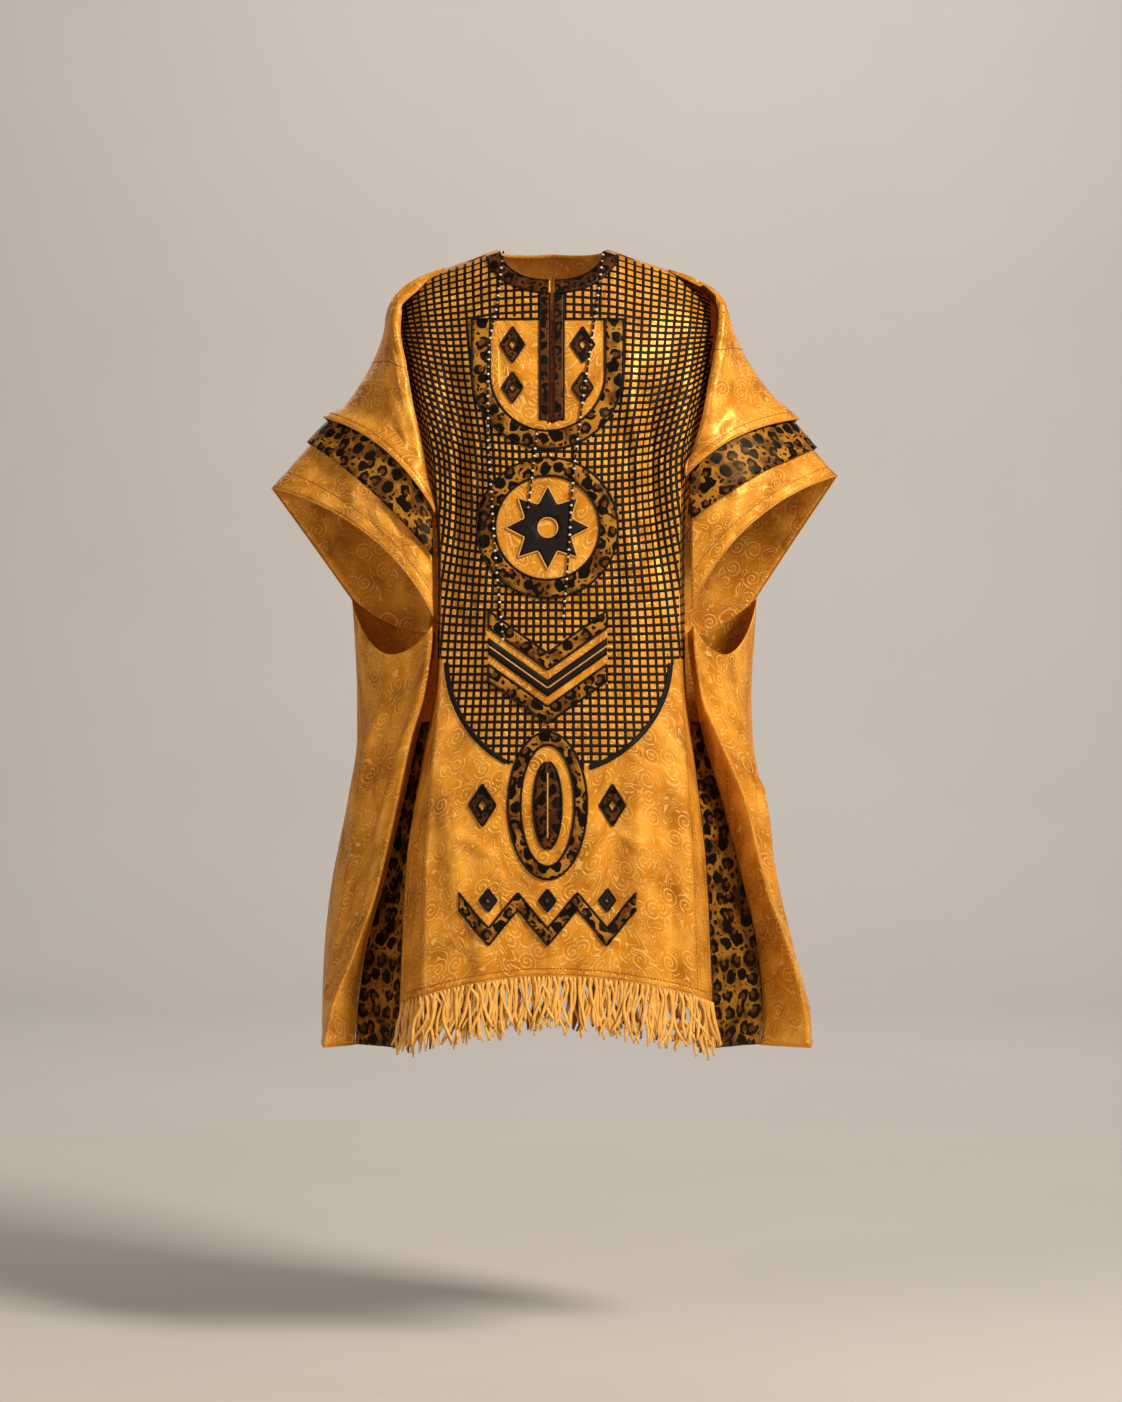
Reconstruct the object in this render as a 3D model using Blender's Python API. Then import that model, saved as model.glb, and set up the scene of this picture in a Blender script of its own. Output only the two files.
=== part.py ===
"""A grand boubou of gold brocade, worn open over the shoulders, as a hollow garment.

Metres, +Z up. The origin is at the neck, midway between the two neck points of the shoulder seams.
The front looks along -Y, and +X is on the right as the front is seen.
Every piece of cloth is a wall of even thickness through a surface that a function gives:
front_point and back_point for the two big panels, sleeve_point for the shingled sleeve.
Trim lies on the front panel's own points, moved out.
"""

import math

import bmesh
import bpy
import numpy as np

WALL = 0.0016  # cloth with its facing, as one wall
SEAM = 0.0012  # between the middles of two walls that meet edge to edge
LIFT = 0.0019  # from the middle of a wall to the middle of the one that lies on it
TRIM = 0.0012  # thickness of applied trim
TRIM_LIFT = WALL / 2 + 0.0007 + TRIM / 2
SHOULDER_SEAM = 0.0003  # from the middle of the shoulder seam to each panel's edge

NECK_HALF = 0.077
NECK_DROP_FRONT = 0.060
NECK_DROP_BACK = 0.010
FACING_WIDE = 0.018
FACING_TURN = 84  # degrees round from the middle to each end of the band, short of the shoulder seam
FACING_BELOW = 0.002
SHOULDER_HALF = 0.232
SHOULDER_ROUND = 0.060  # how fast the cloth turns down from the shoulder line
SLIT_HALF = 0.0022
SLIT_BOTTOM_ROW = 7
SLIT_FOOT = 0.212  # share of the way down the front at which that row lies
LOWER_ROWS = 21
COLUMN_MIDDLE = -0.006  # the embroidered column stands a little off the middle

HEM_FRONT_MIDDLE = -1.046
HEM_FRONT_SIDE = -1.092
HEM_BACK_MIDDLE = -1.078
HEM_BACK_SIDE = -1.158
WING_TOP = -0.556  # where the side openings end and the wings begin
WING_RISE = 0.048
WING_ROWS = 14
GUSSET_FROM_ROW = 3

FRINGE_STRANDS = 84
FRINGE_LONG = 0.074
FRINGE_STRIP = 0.006
FRINGE_THICK = 0.0018
FRINGE_BELOW = 0.0004  # the strip's clearance under the hem
FRINGE_REACH = 0.985  # share of the hem's half that it covers
FRINGE_STEPS = (  # each step of a strand: share of its length, how far it sways, and how it thins
    (0.5, 0.45, 0.86),
    (0.5, 1.00, 0.70),
)
FRINGE_LEAN = 0.0035
FRINGE_OUTWARD = 0.003
FRINGE_FLARE = 0.009  # how far the strands at the two ends fan out sideways

PLACKET_TOP = -0.086
PLACKET_BOTTOM = -0.262
PLACKET_WIDE = 0.014

BIB_TOP = -0.112
BIB_TURN = -0.190
BIB_FOOT = -0.300
BIB_HALF = 0.108
BIB_WIDE = 0.026
RING_Z = -0.412
RING_OUTSIDE = 0.100
RING_INSIDE = 0.074
STAR_TIP = 0.060
STAR_NOTCH = 0.036
STAR_HOLE = 0.014
CHEVRON_HALF = 0.084
CHEVRON_DEEP = 0.060
CHEVRON_WIDE = 0.024
CHEVRONS = ((-0.530, "leopard"), (-0.568, "satin"), (-0.606, "leopard"))
OVAL_Z = -0.806
OVAL_HALF = 0.056
OVAL_TALL = 0.104
OVAL_WIDE = 0.018
SEED_HALF = 0.020
SEED_TALL = 0.062
ZIGZAG_Z = -0.966
ZIGZAG_HALF = 0.126
ZIGZAG_HIGH = 0.050
ZIGZAG_TURNS = 6
ZIGZAG_WIDE = 0.024
BORDER_TOP = -0.598
BORDER_DEEP = 0.166
BORDER_HALF_LEFT = 0.153
BORDER_HALF_RIGHT = 0.172
BORDER_CLEAR = 0.060  # from the middle of the column, where the oval comes between the halves
BORDER_WIDE = 0.007

# the shoulder line under the sleeve, for the left side; the right side is a little wider
SHOULDER_COLUMNS = ("x", "z")
SHOULDER = (
    (0.000, 0.008),
    (0.077, 0.000),
    (0.120, -0.015),
    (0.156, -0.028),
    (0.194, -0.048),
    (0.225, -0.076),
    (0.240, -0.106),
    (0.260, -0.160),
)
RIGHT_SHOULDER_WIDER = 1.04

# the front panel across, at each height: its corner, and the edge where its side return ends
FRONT_COLUMNS = ("z", "corner_left", "corner_right", "end_left", "end_right", "y_middle", "y_corner", "y_end")
FRONT = (
    (0.020, 0.186, 0.194, 0.232, 0.241, -0.098, -0.080, -0.020),
    (-0.090, 0.186, 0.196, 0.230, 0.240, -0.108, -0.090, -0.030),
    (-0.200, 0.184, 0.200, 0.212, 0.232, -0.124, -0.102, -0.045),
    (-0.320, 0.168, 0.186, 0.184, 0.204, -0.133, -0.108, -0.045),
    (-0.450, 0.158, 0.182, 0.165, 0.192, -0.138, -0.110, -0.042),
    (-0.600, 0.159, 0.183, 0.165, 0.192, -0.142, -0.114, -0.042),
    (-0.750, 0.170, 0.190, 0.188, 0.206, -0.148, -0.124, -0.058),
    (-0.900, 0.178, 0.198, 0.210, 0.222, -0.156, -0.136, -0.066),
    (-1.100, 0.183, 0.203, 0.219, 0.231, -0.168, -0.150, -0.070),
)
CORNER_AT = 0.80  # share of the half width in columns that lies before the corner

# one deep trough at each armpit: it bends inwards and out again as it goes down
TROUGH_COLUMNS = ("z", "x", "deep", "wide")
TROUGH = (
    (-0.080, 0.170, 0.000, 0.020),
    (-0.140, 0.158, 0.006, 0.022),
    (-0.250, 0.136, 0.014, 0.022),
    (-0.350, 0.132, 0.013, 0.022),
    (-0.450, 0.142, 0.010, 0.020),
    (-0.580, 0.150, 0.003, 0.020),
    (-0.700, 0.155, 0.000, 0.020),
)

# the back panel across: back seam, outer fold (the silhouette), front fold, and edge at the gusset
BACK_COLUMNS = (
    "z", "seam_left", "seam_right", "y_middle", "y_seam",
    "outer_left", "outer_right", "y_outer",
    "fold_left", "fold_right", "y_fold",
    "edge_left", "edge_right", "y_edge",
)
BACK = (
    (0.020, 0.232, 0.241, 0.096, 0.020, 0.290, 0.297, 0.030, 0.172, 0.200, -0.104, 0.167, 0.196, -0.036),
    (-0.090, 0.230, 0.240, 0.106, 0.036, 0.290, 0.297, 0.030, 0.172, 0.200, -0.104, 0.167, 0.196, -0.036),
    (-0.220, 0.212, 0.224, 0.116, 0.062, 0.290, 0.297, 0.030, 0.172, 0.200, -0.104, 0.167, 0.196, -0.036),
    (-0.400, 0.184, 0.196, 0.124, 0.078, 0.300, 0.306, 0.030, 0.172, 0.202, -0.104, 0.168, 0.197, -0.034),
    (-0.556, 0.184, 0.196, 0.130, 0.090, 0.290, 0.297, 0.030, 0.172, 0.203, -0.102, 0.168, 0.197, -0.034),
    (-0.650, 0.188, 0.200, 0.136, 0.098, 0.286, 0.292, 0.030, 0.184, 0.214, -0.098, 0.180, 0.208, -0.034),
    (-0.710, 0.190, 0.202, 0.139, 0.102, 0.286, 0.294, 0.030, 0.202, 0.238, -0.094, 0.196, 0.220, -0.036),
    (-0.800, 0.196, 0.210, 0.146, 0.110, 0.299, 0.309, 0.032, 0.222, 0.276, -0.086, 0.216, 0.246, -0.034),
    (-0.930, 0.204, 0.220, 0.160, 0.124, 0.323, 0.331, 0.034, 0.252, 0.309, -0.074, 0.248, 0.280, -0.026),
    (-1.020, 0.210, 0.226, 0.170, 0.134, 0.333, 0.350, 0.036, 0.284, 0.343, -0.066, 0.272, 0.300, -0.018),
    (-1.110, 0.216, 0.232, 0.180, 0.142, 0.337, 0.376, 0.036, 0.320, 0.368, -0.058, 0.284, 0.308, -0.012),
    (-1.165, 0.218, 0.236, 0.186, 0.148, 0.338, 0.382, 0.034, 0.331, 0.374, -0.052, 0.288, 0.302, -0.010),
)
SEAM_AT = 0.42  # where along a row of the back panel each of its folds falls
OUTER_AT = 0.66
FOLD_AT = 0.86
BACK_FOLDS = 6.5
BACK_FOLD_DEEP = 0.016

# the sleeve: its ridge over the shoulder and its front edge, at each stage on the way down
SLEEVE_COLUMNS = (
    "stage", "ridge_left", "ridge_right", "ridge_z_left", "ridge_z_right",
    "edge_left", "edge_right", "edge_z_left", "edge_z_right", "edge_y", "back_z",
    "round_front", "round_back", "belly",
)
SLEEVE = (
    (0.0, 0.156, 0.169, -0.0262, -0.0295, 0.157, 0.170, -0.0295, -0.0318, -0.010, -0.0305, 0.30, 0.30, 0.000),
    (1.0, 0.194, 0.204, -0.043, -0.043, 0.195, 0.205, -0.062, -0.052, -0.036, -0.062, 0.30, 0.30, 0.000),
    (2.0, 0.223, 0.233, -0.065, -0.062, 0.222, 0.236, -0.093, -0.072, -0.045, -0.093, 0.30, 0.30, 0.000),
    (3.0, 0.235, 0.246, -0.088, -0.078, 0.224, 0.246, -0.126, -0.100, -0.060, -0.130, 0.35, 0.35, 0.001),
    (4.0, 0.244, 0.259, -0.129, -0.114, 0.214, 0.240, -0.178, -0.149, -0.075, -0.180, 0.40, 0.40, 0.003),
    (5.0, 0.260, 0.275, -0.170, -0.151, 0.205, 0.229, -0.228, -0.206, -0.085, -0.235, 0.45, 0.45, 0.006),
    (6.0, 0.282, 0.297, -0.207, -0.188, 0.192, 0.219, -0.285, -0.257, -0.090, -0.295, 0.50, 0.45, 0.009),
    (7.0, 0.303, 0.323, -0.233, -0.220, 0.181, 0.207, -0.343, -0.300, -0.092, -0.355, 0.60, 0.40, 0.012),
    (8.0, 0.326, 0.352, -0.251, -0.252, 0.175, 0.198, -0.389, -0.337, -0.095, -0.405, 0.60, 0.30, 0.015),
    (9.0, 0.353, 0.382, -0.284, -0.292, 0.172, 0.200, -0.453, -0.400, -0.097, -0.490, 0.22, 0.15, 0.018),
    (10.0, 0.409, 0.416, -0.347, -0.329, 0.170, 0.200, -0.537, -0.526, -0.098, -0.680, 0.55, 0.00, 0.020),
)
BACK_EDGE_OFF = 0.0072  # how far the innermost layer's back edge stands off the back panel
RIDGE_Y = 0.004
SHOULDER_SLOPE = 1.2  # a lift square to the sloping shoulder, measured upright
FARTHEST_OFF = 0.018  # how far forward a sleeve's edge may lie off the panel's corner
# each layer of the sleeve: the stages it covers, how far it lies outside the innermost one,
# and how much further its lower edge stands off
TIERS = (
    ("upper", 0.0, 8.0, 0.0046, 0.0060),
    ("leopard", 7.0, 9.0, 0.0023, 0.0040),
    ("mouth", 8.0, 10.0, 0.0, 0.0),
)
TIER_STEP = 0.5
TIER_CELLS_AROUND = 20

COLOURS = {
    "brocade": ((0.66, 0.33, 0.045, 1.0), 0.38),
    "leopard": ((0.16, 0.075, 0.025, 1.0), 0.50),
    "satin": ((0.022, 0.012, 0.008, 1.0), 0.35),
    "fringe": ((0.74, 0.43, 0.11, 1.0), 0.55),
}


def clear_scene():
    for thing in list(bpy.data.objects):
        bpy.data.objects.remove(thing, do_unlink=True)


def material(finish):
    made = bpy.data.materials.get(finish)
    if made:
        return made
    made = bpy.data.materials.new(finish)
    made.use_nodes = True
    colour, roughness = COLOURS[finish]
    shader = made.node_tree.nodes["Principled BSDF"]
    shader.inputs["Base Color"].default_value = colour
    shader.inputs["Roughness"].default_value = roughness
    shader.inputs["Metallic"].default_value = 0.0
    return made


def slopes(at, value):
    """Slopes of a curve that never passes beyond its own points."""
    step = np.diff(at)
    rise = np.diff(value) / step
    out = np.zeros(len(at))
    out[0], out[-1] = rise[0], rise[-1]
    for i in range(1, len(at) - 1):
        if rise[i - 1] * rise[i] > 0:
            out[i] = 2 * rise[i - 1] * rise[i] / (rise[i - 1] + rise[i])
    return out


class Table:
    """Rows with named columns, read smoothly between the rows by the first column."""

    def __init__(self, names, rows):
        rows = sorted(rows)
        self.at = np.array([row[0] for row in rows])
        self.value = {name: np.array([row[i] for row in rows]) for i, name in enumerate(names)}
        self.slope = {name: slopes(self.at, column) for name, column in self.value.items()}

    def read(self, name, at):
        at = min(max(at, self.at[0]), self.at[-1])
        i = min(int(np.searchsorted(self.at, at, side="right")) - 1, len(self.at) - 2)
        step = self.at[i + 1] - self.at[i]
        t = (at - self.at[i]) / step
        value, slope = self.value[name], self.slope[name]
        return float(
            (1 + 2 * t) * (1 - t) ** 2 * value[i]
            + t * (1 - t) ** 2 * step * slope[i]
            + t * t * (3 - 2 * t) * value[i + 1]
            + t * t * (t - 1) * step * slope[i + 1]
        )


shoulder = Table(SHOULDER_COLUMNS, SHOULDER)
front = Table(FRONT_COLUMNS, FRONT)
trough = Table(TROUGH_COLUMNS, TROUGH)
back = Table(BACK_COLUMNS, BACK)
sleeve = Table(SLEEVE_COLUMNS, SLEEVE)


def side_name(x):
    return "left" if x < 0 else "right"


def bump(x, middle, wide):
    return math.exp(-(((x - middle) / wide) ** 2))


def ease(share):
    share = min(max(share, 0.0), 1.0)
    return share * share * (3 - 2 * share)


def ridge_z(x):
    """Height of the shoulder line over a place across."""
    return shoulder.read("z", abs(x) / (RIGHT_SHOULDER_WIDER if x > 0 else 1.0))


def turn_down(x, z):
    """0 on the shoulder line, rising to 1 where the cloth hangs straight."""
    drop = max(ridge_z(x) - z, 0.0)
    return (1 - math.exp(-drop / SHOULDER_ROUND)) ** 0.62


def front_x(s, z):
    side = "left" if s < 0 else "right"
    corner = front.read("corner_" + side, z)
    end = front.read("end_" + side, z)
    share = abs(s) / CORNER_AT
    if share <= 1:
        reach = corner * share
    else:
        reach = corner + (end - corner) * (abs(s) - CORNER_AT) / (1 - CORNER_AT)
    return math.copysign(reach, s)


def front_s(x, z):
    side = side_name(x)
    corner = front.read("corner_" + side, z)
    end = front.read("end_" + side, z)
    if abs(x) <= corner:
        s = CORNER_AT * abs(x) / corner
    else:
        s = CORNER_AT + (1 - CORNER_AT) * (abs(x) - corner) / max(end - corner, 1e-6)
    return math.copysign(min(s, 1.0), x)


def front_depth(s, z):
    """How far the front panel lies before the shoulder line, as a negative y."""
    x = front_x(s, z)
    middle = front.read("y_middle", z)
    corner = front.read("y_corner", z)
    share = min(abs(s) / CORNER_AT, 1.0)
    y = middle + (corner - middle) * share ** 3.2
    if abs(s) > CORNER_AT:
        past = (abs(s) - CORNER_AT) / (1 - CORNER_AT)
        y += (front.read("y_end", z) - corner) * past ** 1.15
    here = trough.read("x", z) * (1.1 if x > 0 else 1.0)
    y += trough.read("deep", z) * bump(abs(x), here, trough.read("wide", z))
    lower = ease((-0.55 - z) / 0.5)
    y -= 0.0025 * lower * math.cos(4.4 * math.pi * s) * (1 - share ** 4)
    return y * turn_down(x, z)


def front_point(s, z):
    return np.array((front_x(s, z), front_depth(s, z), z))


def front_slopes(x, z):
    """y of the front panel at a place across and a height, and how y changes across and upwards."""
    near = 0.0015
    y = front_depth(front_s(x, z), z)
    along = front_depth(front_s(x + near, z), z) - front_depth(front_s(x - near, z), z)
    rise = front_depth(front_s(x, z + near), z + near) - front_depth(front_s(x, z - near), z - near)
    return y, along / (2 * near), rise / (2 * near)


def on_front(x, z, lift):
    """A point of the front panel at a place across and a height, moved out."""
    y, along, rise = front_slopes(x, z)
    normal = np.array((along, -1.0, rise))
    normal /= np.linalg.norm(normal)
    return np.array((x, y, z)) + normal * lift


def back_folds(s, z):
    """Soft folds that open out towards the hem."""
    hang = ease((-0.22 - z) / 0.9)
    spread = 1 - ease((abs(s) - 0.5) / 0.14)
    return BACK_FOLD_DEEP * hang * spread * math.cos(BACK_FOLDS * math.pi * s + 0.4 * math.sin(5 * s))


def back_point(s, z):
    """The back panel: middle, back seam, outer fold, front fold, and in to the gusset."""
    side = "left" if s < 0 else "right"
    a = abs(s)
    seam_x = back.read("seam_" + side, z)
    seam_y = back.read("y_seam", z)
    if a <= SEAM_AT:
        share = a / SEAM_AT
        x = seam_x * share
        middle = back.read("y_middle", z)
        y = middle + (seam_y - middle) * share ** 2.4
    elif a <= OUTER_AT:
        turn = (a - SEAM_AT) / (OUTER_AT - SEAM_AT)
        outer_x = back.read("outer_" + side, z)
        outer_y = back.read("y_outer", z)
        x = seam_x + (outer_x - seam_x) * math.sin(turn * math.pi / 2) ** 0.9
        y = outer_y + (seam_y - outer_y) * (1 - turn ** 1.5)
    elif a <= FOLD_AT:
        turn = (a - OUTER_AT) / (FOLD_AT - OUTER_AT)
        outer_x, outer_y = back.read("outer_" + side, z), back.read("y_outer", z)
        fold_x, fold_y = back.read("fold_" + side, z), back.read("y_fold", z)
        x = outer_x + (fold_x - outer_x) * turn ** 1.3
        y = outer_y + (fold_y - outer_y) * turn ** 0.85
    else:
        turn = (a - FOLD_AT) / (1 - FOLD_AT)
        fold_x, fold_y = back.read("fold_" + side, z), back.read("y_fold", z)
        edge_x, edge_y = back.read("edge_" + side, z), back.read("y_edge", z)
        x = fold_x + (edge_x - fold_x) * turn
        y = fold_y + (edge_y - fold_y) * turn
    x = math.copysign(x, s)
    y += back_folds(s, z)
    return np.array((x, y * turn_down(x, z) if a <= SEAM_AT else y, z))


def back_depth(x, z):
    """y of the back of the garment at a place across, or None well beyond its side."""
    limit = SEAM_AT if z > WING_TOP else OUTER_AT
    low, high = 0.0, limit
    reach = abs(back_point(math.copysign(high, x), z)[0])
    if reach < abs(x) - 0.008:
        return None
    x = math.copysign(min(abs(x), reach), x)
    for _ in range(24):
        half = (low + high) / 2
        if abs(back_point(math.copysign(half, x), z)[0]) < abs(x):
            low = half
        else:
            high = half
    return back_point(math.copysign(high, x), z)[1]


def sleeve_middle(side, around, stage):
    """The innermost layer of the sleeve: 0 at its front edge, 0.5 on its ridge, 1 at its back edge."""
    sign = -1 if side == "left" else 1
    ridge_x, ridge_high = sleeve.read("ridge_" + side, stage), sleeve.read("ridge_z_" + side, stage)
    ridge = np.array((sign * ridge_x, RIDGE_Y, ridge_high))
    reach = sleeve.read("edge_" + side, stage)
    if around <= 0.5:
        face = -1.0
        hollow = sleeve.read("round_front", stage)
        edge = np.array((sign * reach, sleeve.read("edge_y", stage), sleeve.read("edge_z_" + side, stage)))
    else:
        face = 1.0
        hollow = sleeve.read("round_back", stage)
        edge_z = sleeve.read("back_z", stage)
        beside = back.read("seam_" + side, edge_z) - 0.003
        reach = min(reach, beside) + (beside - min(reach, beside)) * ease(stage - 2.5)
        edge = np.array((sign * reach, back_depth(sign * reach, edge_z) + BACK_EDGE_OFF, edge_z))
    t = abs(around - 0.5) * 2
    over = math.sin(t * math.pi / 2)
    down = 1 - math.cos(t * math.pi / 2)
    shares = (t + hollow * (over - t), over ** 0.8, t + hollow * (down - t))
    point = ridge + (edge - ridge) * np.array(shares)
    point[1] += face * sleeve.read("belly", stage) * math.sin(math.pi * t)
    return keep_outside(point, face, LIFT)


def keep_outside(point, face, clear):
    """Moves a sleeve's point off the panel that it would sink into."""
    x, y, z = point
    if z > ridge_z(x):
        return np.array((x, y, max(z, ridge_z(x) + clear * SHOULDER_SLOPE)))
    if face < 0 and abs(x) < front.read("end_" + side_name(x), z):
        here, along, fall = front_slopes(x, z)
        y = min(y, here - min(clear * math.sqrt(1 + along * along + fall * fall), FARTHEST_OFF))
    if face > 0:
        panel, beside = back_depth(x, z), back_depth(x * 0.985, z)
        if panel is not None:
            along = (panel - beside) / (0.015 * abs(x))
            y = max(y, panel + clear * min(math.sqrt(1 + along * along), 1.6))
    return np.array((x, y, z))


def sleeve_point(side, around, stage, out):
    """A layer of the sleeve, moved out square to the innermost one."""
    sign = -1 if side == "left" else 1
    low, high = max(around - 0.02, 0.0), min(around + 0.02, 1.0)
    up, down = max(stage - 0.15, 0.0), min(stage + 0.15, 10.0)
    along = sleeve_middle(side, high, stage) - sleeve_middle(side, low, stage)
    fall = sleeve_middle(side, around, down) - sleeve_middle(side, around, up)
    normal = np.cross(fall, along) * sign
    point = sleeve_middle(side, around, stage) + normal / np.linalg.norm(normal) * out
    if stage < 4.0 or around <= 0.5:
        point = keep_outside(point, -1.0 if around <= 0.5 else 1.0, LIFT + out)
    return point


def new_object(name, mesh, finish):
    mesh.materials.append(material(finish))
    made = bpy.data.objects.new(name, mesh)
    bpy.context.scene.collection.objects.link(made)
    for face in mesh.polygons:
        face.use_smooth = True
    return made


def wall(name, grid, finish, thick=WALL, keep=None, upright=None, closed=False, flip=False):
    """A closed wall through a grid of points. keep says which cells are cloth, and upright
    which points have a rim that stands square to Y, where two panels meet at the shoulder."""
    grid = np.array(grid, dtype=float)
    rows, columns = grid.shape[:2]
    cells = []
    for i in range(rows - 1):
        for j in range(columns if closed else columns - 1):
            if keep is None or keep(i, j):
                after = (j + 1) % columns
                cells.append(((i, j), (i, after), (i + 1, after), (i + 1, j)))
    normals = np.zeros_like(grid)
    for cell in cells:
        a, b, c, d = (grid[place] for place in cell)
        normal = np.cross(c - a, d - b)
        for place in cell:
            normals[place] += normal
    if flip:
        normals = -normals
    if upright:
        for i in range(rows):
            for j in range(columns):
                if upright(i, j):
                    normals[i, j, 1] = 0.0
    mesh = bmesh.new()
    outer, inner = {}, {}
    for cell in cells:
        for place in cell:
            if place not in outer:
                normal = normals[place] / max(np.linalg.norm(normals[place]), 1e-12)
                outer[place] = mesh.verts.new(grid[place] + normal * thick / 2)
                inner[place] = mesh.verts.new(grid[place] - normal * thick / 2)
    open_edges = {}
    for cell in cells:
        way = cell if not flip else cell[::-1]
        mesh.faces.new([outer[place] for place in way])
        mesh.faces.new([inner[place] for place in reversed(way)])
        for k in range(4):
            edge = (way[k], way[(k + 1) % 4])
            if (edge[1], edge[0]) in open_edges:
                del open_edges[(edge[1], edge[0])]
            else:
                open_edges[edge] = True
    for first, second in open_edges:
        mesh.faces.new((outer[second], outer[first], inner[first], inner[second]))
    data = bpy.data.meshes.new(name)
    mesh.to_mesh(data)
    mesh.free()
    return new_object(name, data, finish)


def panel_columns(steps_to_corner, steps_past):
    """Shares across half a panel, closer together at the neck point and the corner."""
    neck = NECK_HALF / SHOULDER_HALF
    inside = [neck * math.sin(math.radians(angle)) for angle in (22, 45, 67, 90)]
    middle = [neck + (CORNER_AT - neck) * k / steps_to_corner for k in range(1, steps_to_corner + 1)]
    outside = [CORNER_AT + (1 - CORNER_AT) * k / steps_past for k in range(1, steps_past + 1)]
    return inside + middle + outside


def neckline_z(x, drop):
    share = min(abs(x) / NECK_HALF, 1.0)
    return ridge_z(x) - drop * math.sqrt(1 - share * share)


def front_rows():
    """Shares of the way down the front panel; one row falls at the foot of the slit."""
    upper = (0.0, 0.012, 0.03, 0.055, 0.085, 0.12, 0.165, SLIT_FOOT)
    return upper + tuple(SLIT_FOOT + (1 - SLIT_FOOT) * k / LOWER_ROWS for k in range(1, LOWER_ROWS + 1))


def front_grid_point(s, t):
    """A point of the front panel's own grid: across by s, down by t from neck or shoulder to hem."""
    x_top = SHOULDER_HALF * (RIGHT_SHOULDER_WIDER if s > 0 else 1.0) * s
    top = neckline_z(x_top, NECK_DROP_FRONT)
    hem = HEM_FRONT_MIDDLE + (HEM_FRONT_SIDE - HEM_FRONT_MIDDLE) * abs(s) ** 2
    point = front_point(s, top + (hem - top) * t)
    if t == 0.0 and abs(s) * SHOULDER_HALF >= NECK_HALF - 1e-6:
        point[1] = -SHOULDER_SEAM
    return point


def build_front():
    half = panel_columns(6, 4)
    slit = SLIT_HALF / SHOULDER_HALF
    across = [-s for s in reversed(half)] + [-slit, slit] + half
    grid = [[front_grid_point(s, t) for s in across] for t in front_rows()]
    middle = len(half)
    on_shoulder = [abs(s) * SHOULDER_HALF >= NECK_HALF - 1e-6 for s in across]
    wall(
        "front_panel", grid, "brocade", flip=True,
        keep=lambda i, j: not (j == middle and i < SLIT_BOTTOM_ROW),
        upright=lambda i, j: i == 0 and on_shoulder[j],
    )


def back_shares():
    """Shares across half the back panel, and how many of them reach its seam."""
    neck = SEAM_AT * NECK_HALF / SHOULDER_HALF
    inside = [neck * math.sin(math.radians(angle)) for angle in (30, 60, 90)]
    middle = [neck + (SEAM_AT - neck) * k / 6 for k in range(1, 7)]
    outer = [SEAM_AT + (OUTER_AT - SEAM_AT) * k / 5 for k in range(1, 6)]
    fold = [OUTER_AT + (FOLD_AT - OUTER_AT) * k / 6 for k in range(1, 7)]
    edge = [FOLD_AT + (1 - FOLD_AT) * k / 3 for k in range(1, 4)]
    return inside + middle + outer + fold + edge, len(inside + middle)


def back_hem(s):
    return HEM_BACK_MIDDLE + (HEM_BACK_SIDE - HEM_BACK_MIDDLE) * ease(abs(s) / 0.75)


def wing_top(s):
    """The top edge of the wing: up under the sleeve at its outer fold, and dipped below the arm."""
    a = abs(s)
    if a <= SEAM_AT:
        return WING_TOP
    if a <= OUTER_AT:
        return WING_TOP + WING_RISE * ease((a - SEAM_AT) / (OUTER_AT - SEAM_AT))
    if a <= FOLD_AT:
        turn = (a - OUTER_AT) / (FOLD_AT - OUTER_AT)
        return WING_TOP + WING_RISE + (0.006 - WING_RISE) * turn - 0.060 * math.sin(math.pi * turn) ** 0.8
    return WING_TOP + 0.006 - 0.010 * (a - FOLD_AT) / (1 - FOLD_AT)


def wing_row(s, k):
    """A point of the back panel below the side openings, on its row k of WING_ROWS."""
    top = wing_top(s)
    return back_point(s, top + (back_hem(s) - top) * k / WING_ROWS)


def build_back():
    half, to_seam = back_shares()
    across = [-s for s in reversed(half)] + [0.0] + half
    upper = (0.0, 0.025, 0.06, 0.11, 0.18, 0.27, 0.38, 0.50, 0.62, 0.74, 0.87)
    grid = []
    for t in upper:
        row = []
        for s in across:
            x_top = SHOULDER_HALF / SEAM_AT * (RIGHT_SHOULDER_WIDER if s > 0 else 1.0) * s
            top = neckline_z(x_top, NECK_DROP_BACK)
            point = back_point(s, top + (WING_TOP - top) * t)
            if t == 0.0 and abs(s) / SEAM_AT * SHOULDER_HALF >= NECK_HALF - 1e-6:
                point[1] = SHOULDER_SEAM
            row.append(point)
        grid.append(row)
    for k in range(WING_ROWS + 1):
        grid.append([wing_row(s, k) for s in across])
    middle = len(half)
    on_shoulder = [abs(s) / SEAM_AT * SHOULDER_HALF >= NECK_HALF - 1e-6 for s in across]
    notch = len(upper)
    wall(
        "back_panel", grid, "brocade",
        keep=lambda i, j: i >= notch or (middle - to_seam <= j < middle + to_seam),
        upright=lambda i, j: i == 0 and on_shoulder[j],
    )


def front_end_at(sign, z):
    """The free edge of the front panel's side return at a height, on its own rows."""
    rows = [front_grid_point(sign * 1.0, t) for t in front_rows()]
    z = max(z, rows[-1][2])
    for upper, lower in zip(rows, rows[1:]):
        if z >= lower[2]:
            share = (upper[2] - z) / (upper[2] - lower[2])
            return upper + (lower - upper) * share
    return rows[-1]


def seam_room(way, other):
    """How far a wall keeps back from another's edge, so that their thickness clears in the angle."""
    turn = float(np.dot(way, other) / np.linalg.norm(way) / np.linalg.norm(other))
    turn = max(min(turn, 0.98), -0.7)
    return (WALL / 2 * (1 + turn) + 0.0006) / math.sqrt(1 - turn * turn)


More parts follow.
